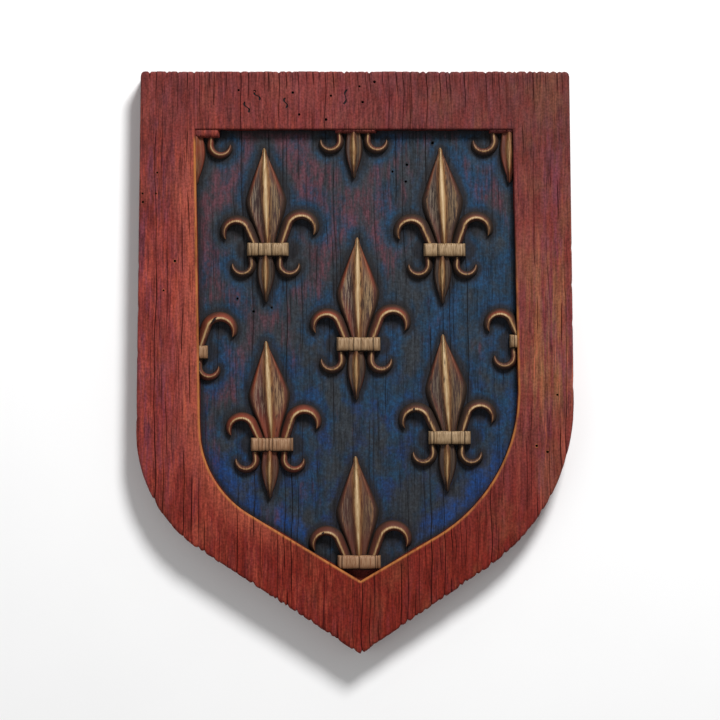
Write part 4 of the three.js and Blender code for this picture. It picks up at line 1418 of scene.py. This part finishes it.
def bare_back(c, grain, aged):
    """The back: bare sawn wood, darker along its streaks."""
    material, n = new_material("back")
    g = n.group(grain)
    dark = tuple(0.45 * k for k in c.bare_wood)
    base = n.mix(n.ramp(g.outputs["Streaks"], 0.35, 0.68), c.bare_wood, dark)
    base = n.mix(n.ramp(g.outputs["Patches"], 0.4, 0.75, 0.0, 0.4), base, dark)
    paint, rough = painted(n, g, aged, base, c.bare_wood, c.soot_and_shade, 0.2, 0.45, 0.0)
    finish(n, paint, rough, g.outputs["Height"], 0.7)
    return material


def dark_hole_lining(c, grain, aged):
    """The inside of beetle holes and nicks: near black."""
    material, n = new_material("dark_hole_lining")
    g = n.group(grain)
    base = n.mix(n.ramp(g.outputs["Pores"], 0.3, 0.7), c.soot_and_shade, tuple(1.6 * k for k in c.soot_and_shade))
    finish(n, base, 0.9, g.outputs["Height"], 0.3, specular=0.05)
    return material


# Operators.


def drop_crumbs(mesh, fewest=50):
    """Removes loose crumbs that cutting leaves: islands of only a few points.

    Each point takes the lowest number it can reach, by passing numbers along the edges.
    """
    ends = np.empty(2 * len(mesh.edges), np.int32)
    mesh.edges.foreach_get("vertices", ends)
    a, c = ends.reshape(-1, 2).T
    label = np.arange(len(mesh.vertices))
    while True:
        low = np.minimum(label[a], label[c])
        lower = label.copy()
        np.minimum.at(lower, label[a], low)
        np.minimum.at(lower, label[c], low)
        lower = lower[lower]
        if (lower == label).all():
            break
        label = lower
    crumbs = np.flatnonzero(np.bincount(label, minlength=len(label))[label] < fewest)
    skin = bmesh.new()
    skin.from_mesh(mesh)
    skin.verts.ensure_lookup_table()
    bmesh.ops.delete(skin, geom=[skin.verts[k] for k in crumbs], context="VERTS")
    skin.to_mesh(mesh)
    skin.free()


def joined(context, board, carving, holes):
    """The board with the carving grown onto it and the holes cut out, as one closed mesh.

    All three are closed, which this way of cutting needs.
    """
    scene = context.scene
    body, added, removed = (bpy.data.objects.new(mesh.name, mesh) for mesh in (board, carving, holes))
    for item in (body, added, removed):
        scene.collection.objects.link(item)
    for item, operation in ((added, "UNION"), (removed, "DIFFERENCE")):
        step = body.modifiers.new(item.name, "BOOLEAN")
        step.operation, step.solver, step.object = operation, "MANIFOLD", item
    depsgraph = context.evaluated_depsgraph_get()
    mesh = bpy.data.meshes.new_from_object(body.evaluated_get(depsgraph))
    if len(mesh.vertices) <= len(board.vertices):
        raise RuntimeError("the carving didn't join the board")
    mesh.name = PIECE
    drop_crumbs(mesh)
    for item in (body, added, removed):
        bpy.data.objects.remove(item)
    for old in (board, carving, holes):
        bpy.data.meshes.remove(old)
    return mesh


class SHIELD_OT_carve(bpy.types.Operator):
    """Carve the shield: board, frame, field and flowers, in its paints"""

    bl_idname = "shield.carve"
    bl_label = "Carve the shield"

    def execute(self, context):
        scene = context.scene
        grain, aged = wood_grain_group(), aged_paint_group()
        c = scene.shield_paint
        makers = (red_paint, blue_paint, field_wall, gilding, gilt_band, rim_stain, bare_back, dark_hole_lining)
        materials = [make(c, grain, aged) for make in makers]
        parts = board_mesh(scene.shield_board, scene.shield_grain, scene.shield_flower, materials)
        mesh = joined(context, *parts)
        piece = bpy.data.objects.new(PIECE, mesh)
        scene.collection.objects.link(piece)
        mesh.polygons.foreach_set("use_smooth", np.ones(len(mesh.polygons), bool))
        mesh.set_sharp_from_angle(angle=math.radians(50))
        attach(piece, "root")
        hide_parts("shield")
        return {"FINISHED"}


class SHIELD_OT_stage(bpy.types.Operator):
    """Lay a pale floor, set the lights and look straight down on the shield"""

    bl_idname = "shield.stage"
    bl_label = "Set the stage"

    def execute(self, context):
        scene = context.scene
        s = scene.shield_stage
        r = FLOOR_REACH
        mesh = bpy.data.meshes.new("floor")
        mesh.from_pydata([(-r, -r, 0), (r, -r, 0), (r, r, 0), (-r, r, 0)], [], [(0, 1, 2, 3)])
        floor = bpy.data.objects.new("floor", mesh)
        scene.collection.objects.link(floor)
        material, n = new_material("floor")
        place = n.new("ShaderNodeTexCoord").outputs["Object"]
        tone = n.mix(n.ramp(n.noise(place, 9.0), 0.3, 0.7), s.floor, tuple(0.985 * k for k in s.floor))
        shader = n.new("ShaderNodeBsdfDiffuse")
        n.put(shader.inputs["Color"], tone)
        n.link(shader.outputs[0], n.new("ShaderNodeOutputMaterial").inputs["Surface"])
        mesh.materials.append(material)
        # Each light's name, place, width and power. Both aim at the origin.
        lights = (
            ("key_light", (0.40, 1.02, 1.04), 0.40, s.key_power),
            ("fill_light", (-0.9, -0.5, 1.2), 1.2, s.fill_power),
        )
        for name, place, size, power in lights:
            data = bpy.data.lights.new(name, "AREA")
            data.shape, data.size, data.energy = "DISK", size, power
            light = bpy.data.objects.new(name, data)
            light.location = place
            aim = np.array(place) / np.linalg.norm(place)
            light.rotation_euler = (math.acos(aim[2]), 0.0, math.atan2(aim[1], aim[0]) + math.pi / 2)
            scene.collection.objects.link(light)
        world = bpy.data.worlds.new("even_light")
        world.use_nodes = True
        world.node_tree.nodes["Background"].inputs["Color"].default_value = (1.0, 1.0, 1.0, 1.0)
        world.node_tree.nodes["Background"].inputs["Strength"].default_value = s.sky
        scene.world = world
        scene.view_settings.view_transform = "Standard"
        data = bpy.data.cameras.new("camera")
        data.sensor_width = 36.0
        data.lens = data.sensor_width * s.distance / s.seen_width
        camera = bpy.data.objects.new("camera", data)
        camera.location = (s.aim_x, s.aim_y, scene.shield_board.thickness + s.distance)
        scene.collection.objects.link(camera)
        scene.camera = camera
        return {"FINISHED"}


class SHIELD_PT_panel(bpy.types.Panel):
    """Lists the shield's sizes, colours and steps"""

    bl_idname = "SHIELD_PT_panel"
    bl_label = "Heater shield"
    bl_space_type = "VIEW_3D"
    bl_region_type = "UI"
    bl_category = "Shield"

    def draw(self, context):
        """One box for each group of settings, then one button for each operator."""
        for name, group in GROUPS:
            box = self.layout.box()
            box.label(text=group.__doc__.split(":")[0])
            for item in group.__annotations__:
                box.prop(getattr(context.scene, name), item)
        for operator in (SHIELD_OT_carve, SHIELD_OT_stage):
            self.layout.operator(operator.bl_idname)


GROUPS = (
    ("shield_board", BoardSizes),
    ("shield_grain", GrainSizes),
    ("shield_flower", FlowerSizes),
    ("shield_paint", PaintColours),
    ("shield_stage", StageSettings),
)
CLASSES = tuple(group for _, group in GROUPS) + (SHIELD_OT_carve, SHIELD_OT_stage, SHIELD_PT_panel)


def register():
    """Makes the groups, operators and panel known, and gives the scene its settings."""
    for item in CLASSES:
        bpy.utils.register_class(item)
    for name, group in GROUPS:
        setattr(bpy.types.Scene, name, PointerProperty(type=group))


def unregister():
    """Takes back what register did."""
    for name, _ in GROUPS:
        delattr(bpy.types.Scene, name)
    for item in reversed(CLASSES):
        bpy.utils.unregister_class(item)


def main():
    """Registers the settings, carves the shield and sets the stage."""
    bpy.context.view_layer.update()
    register()
    bpy.ops.shield.carve()
    bpy.ops.shield.stage()


if __name__ == "__main__":
    main()
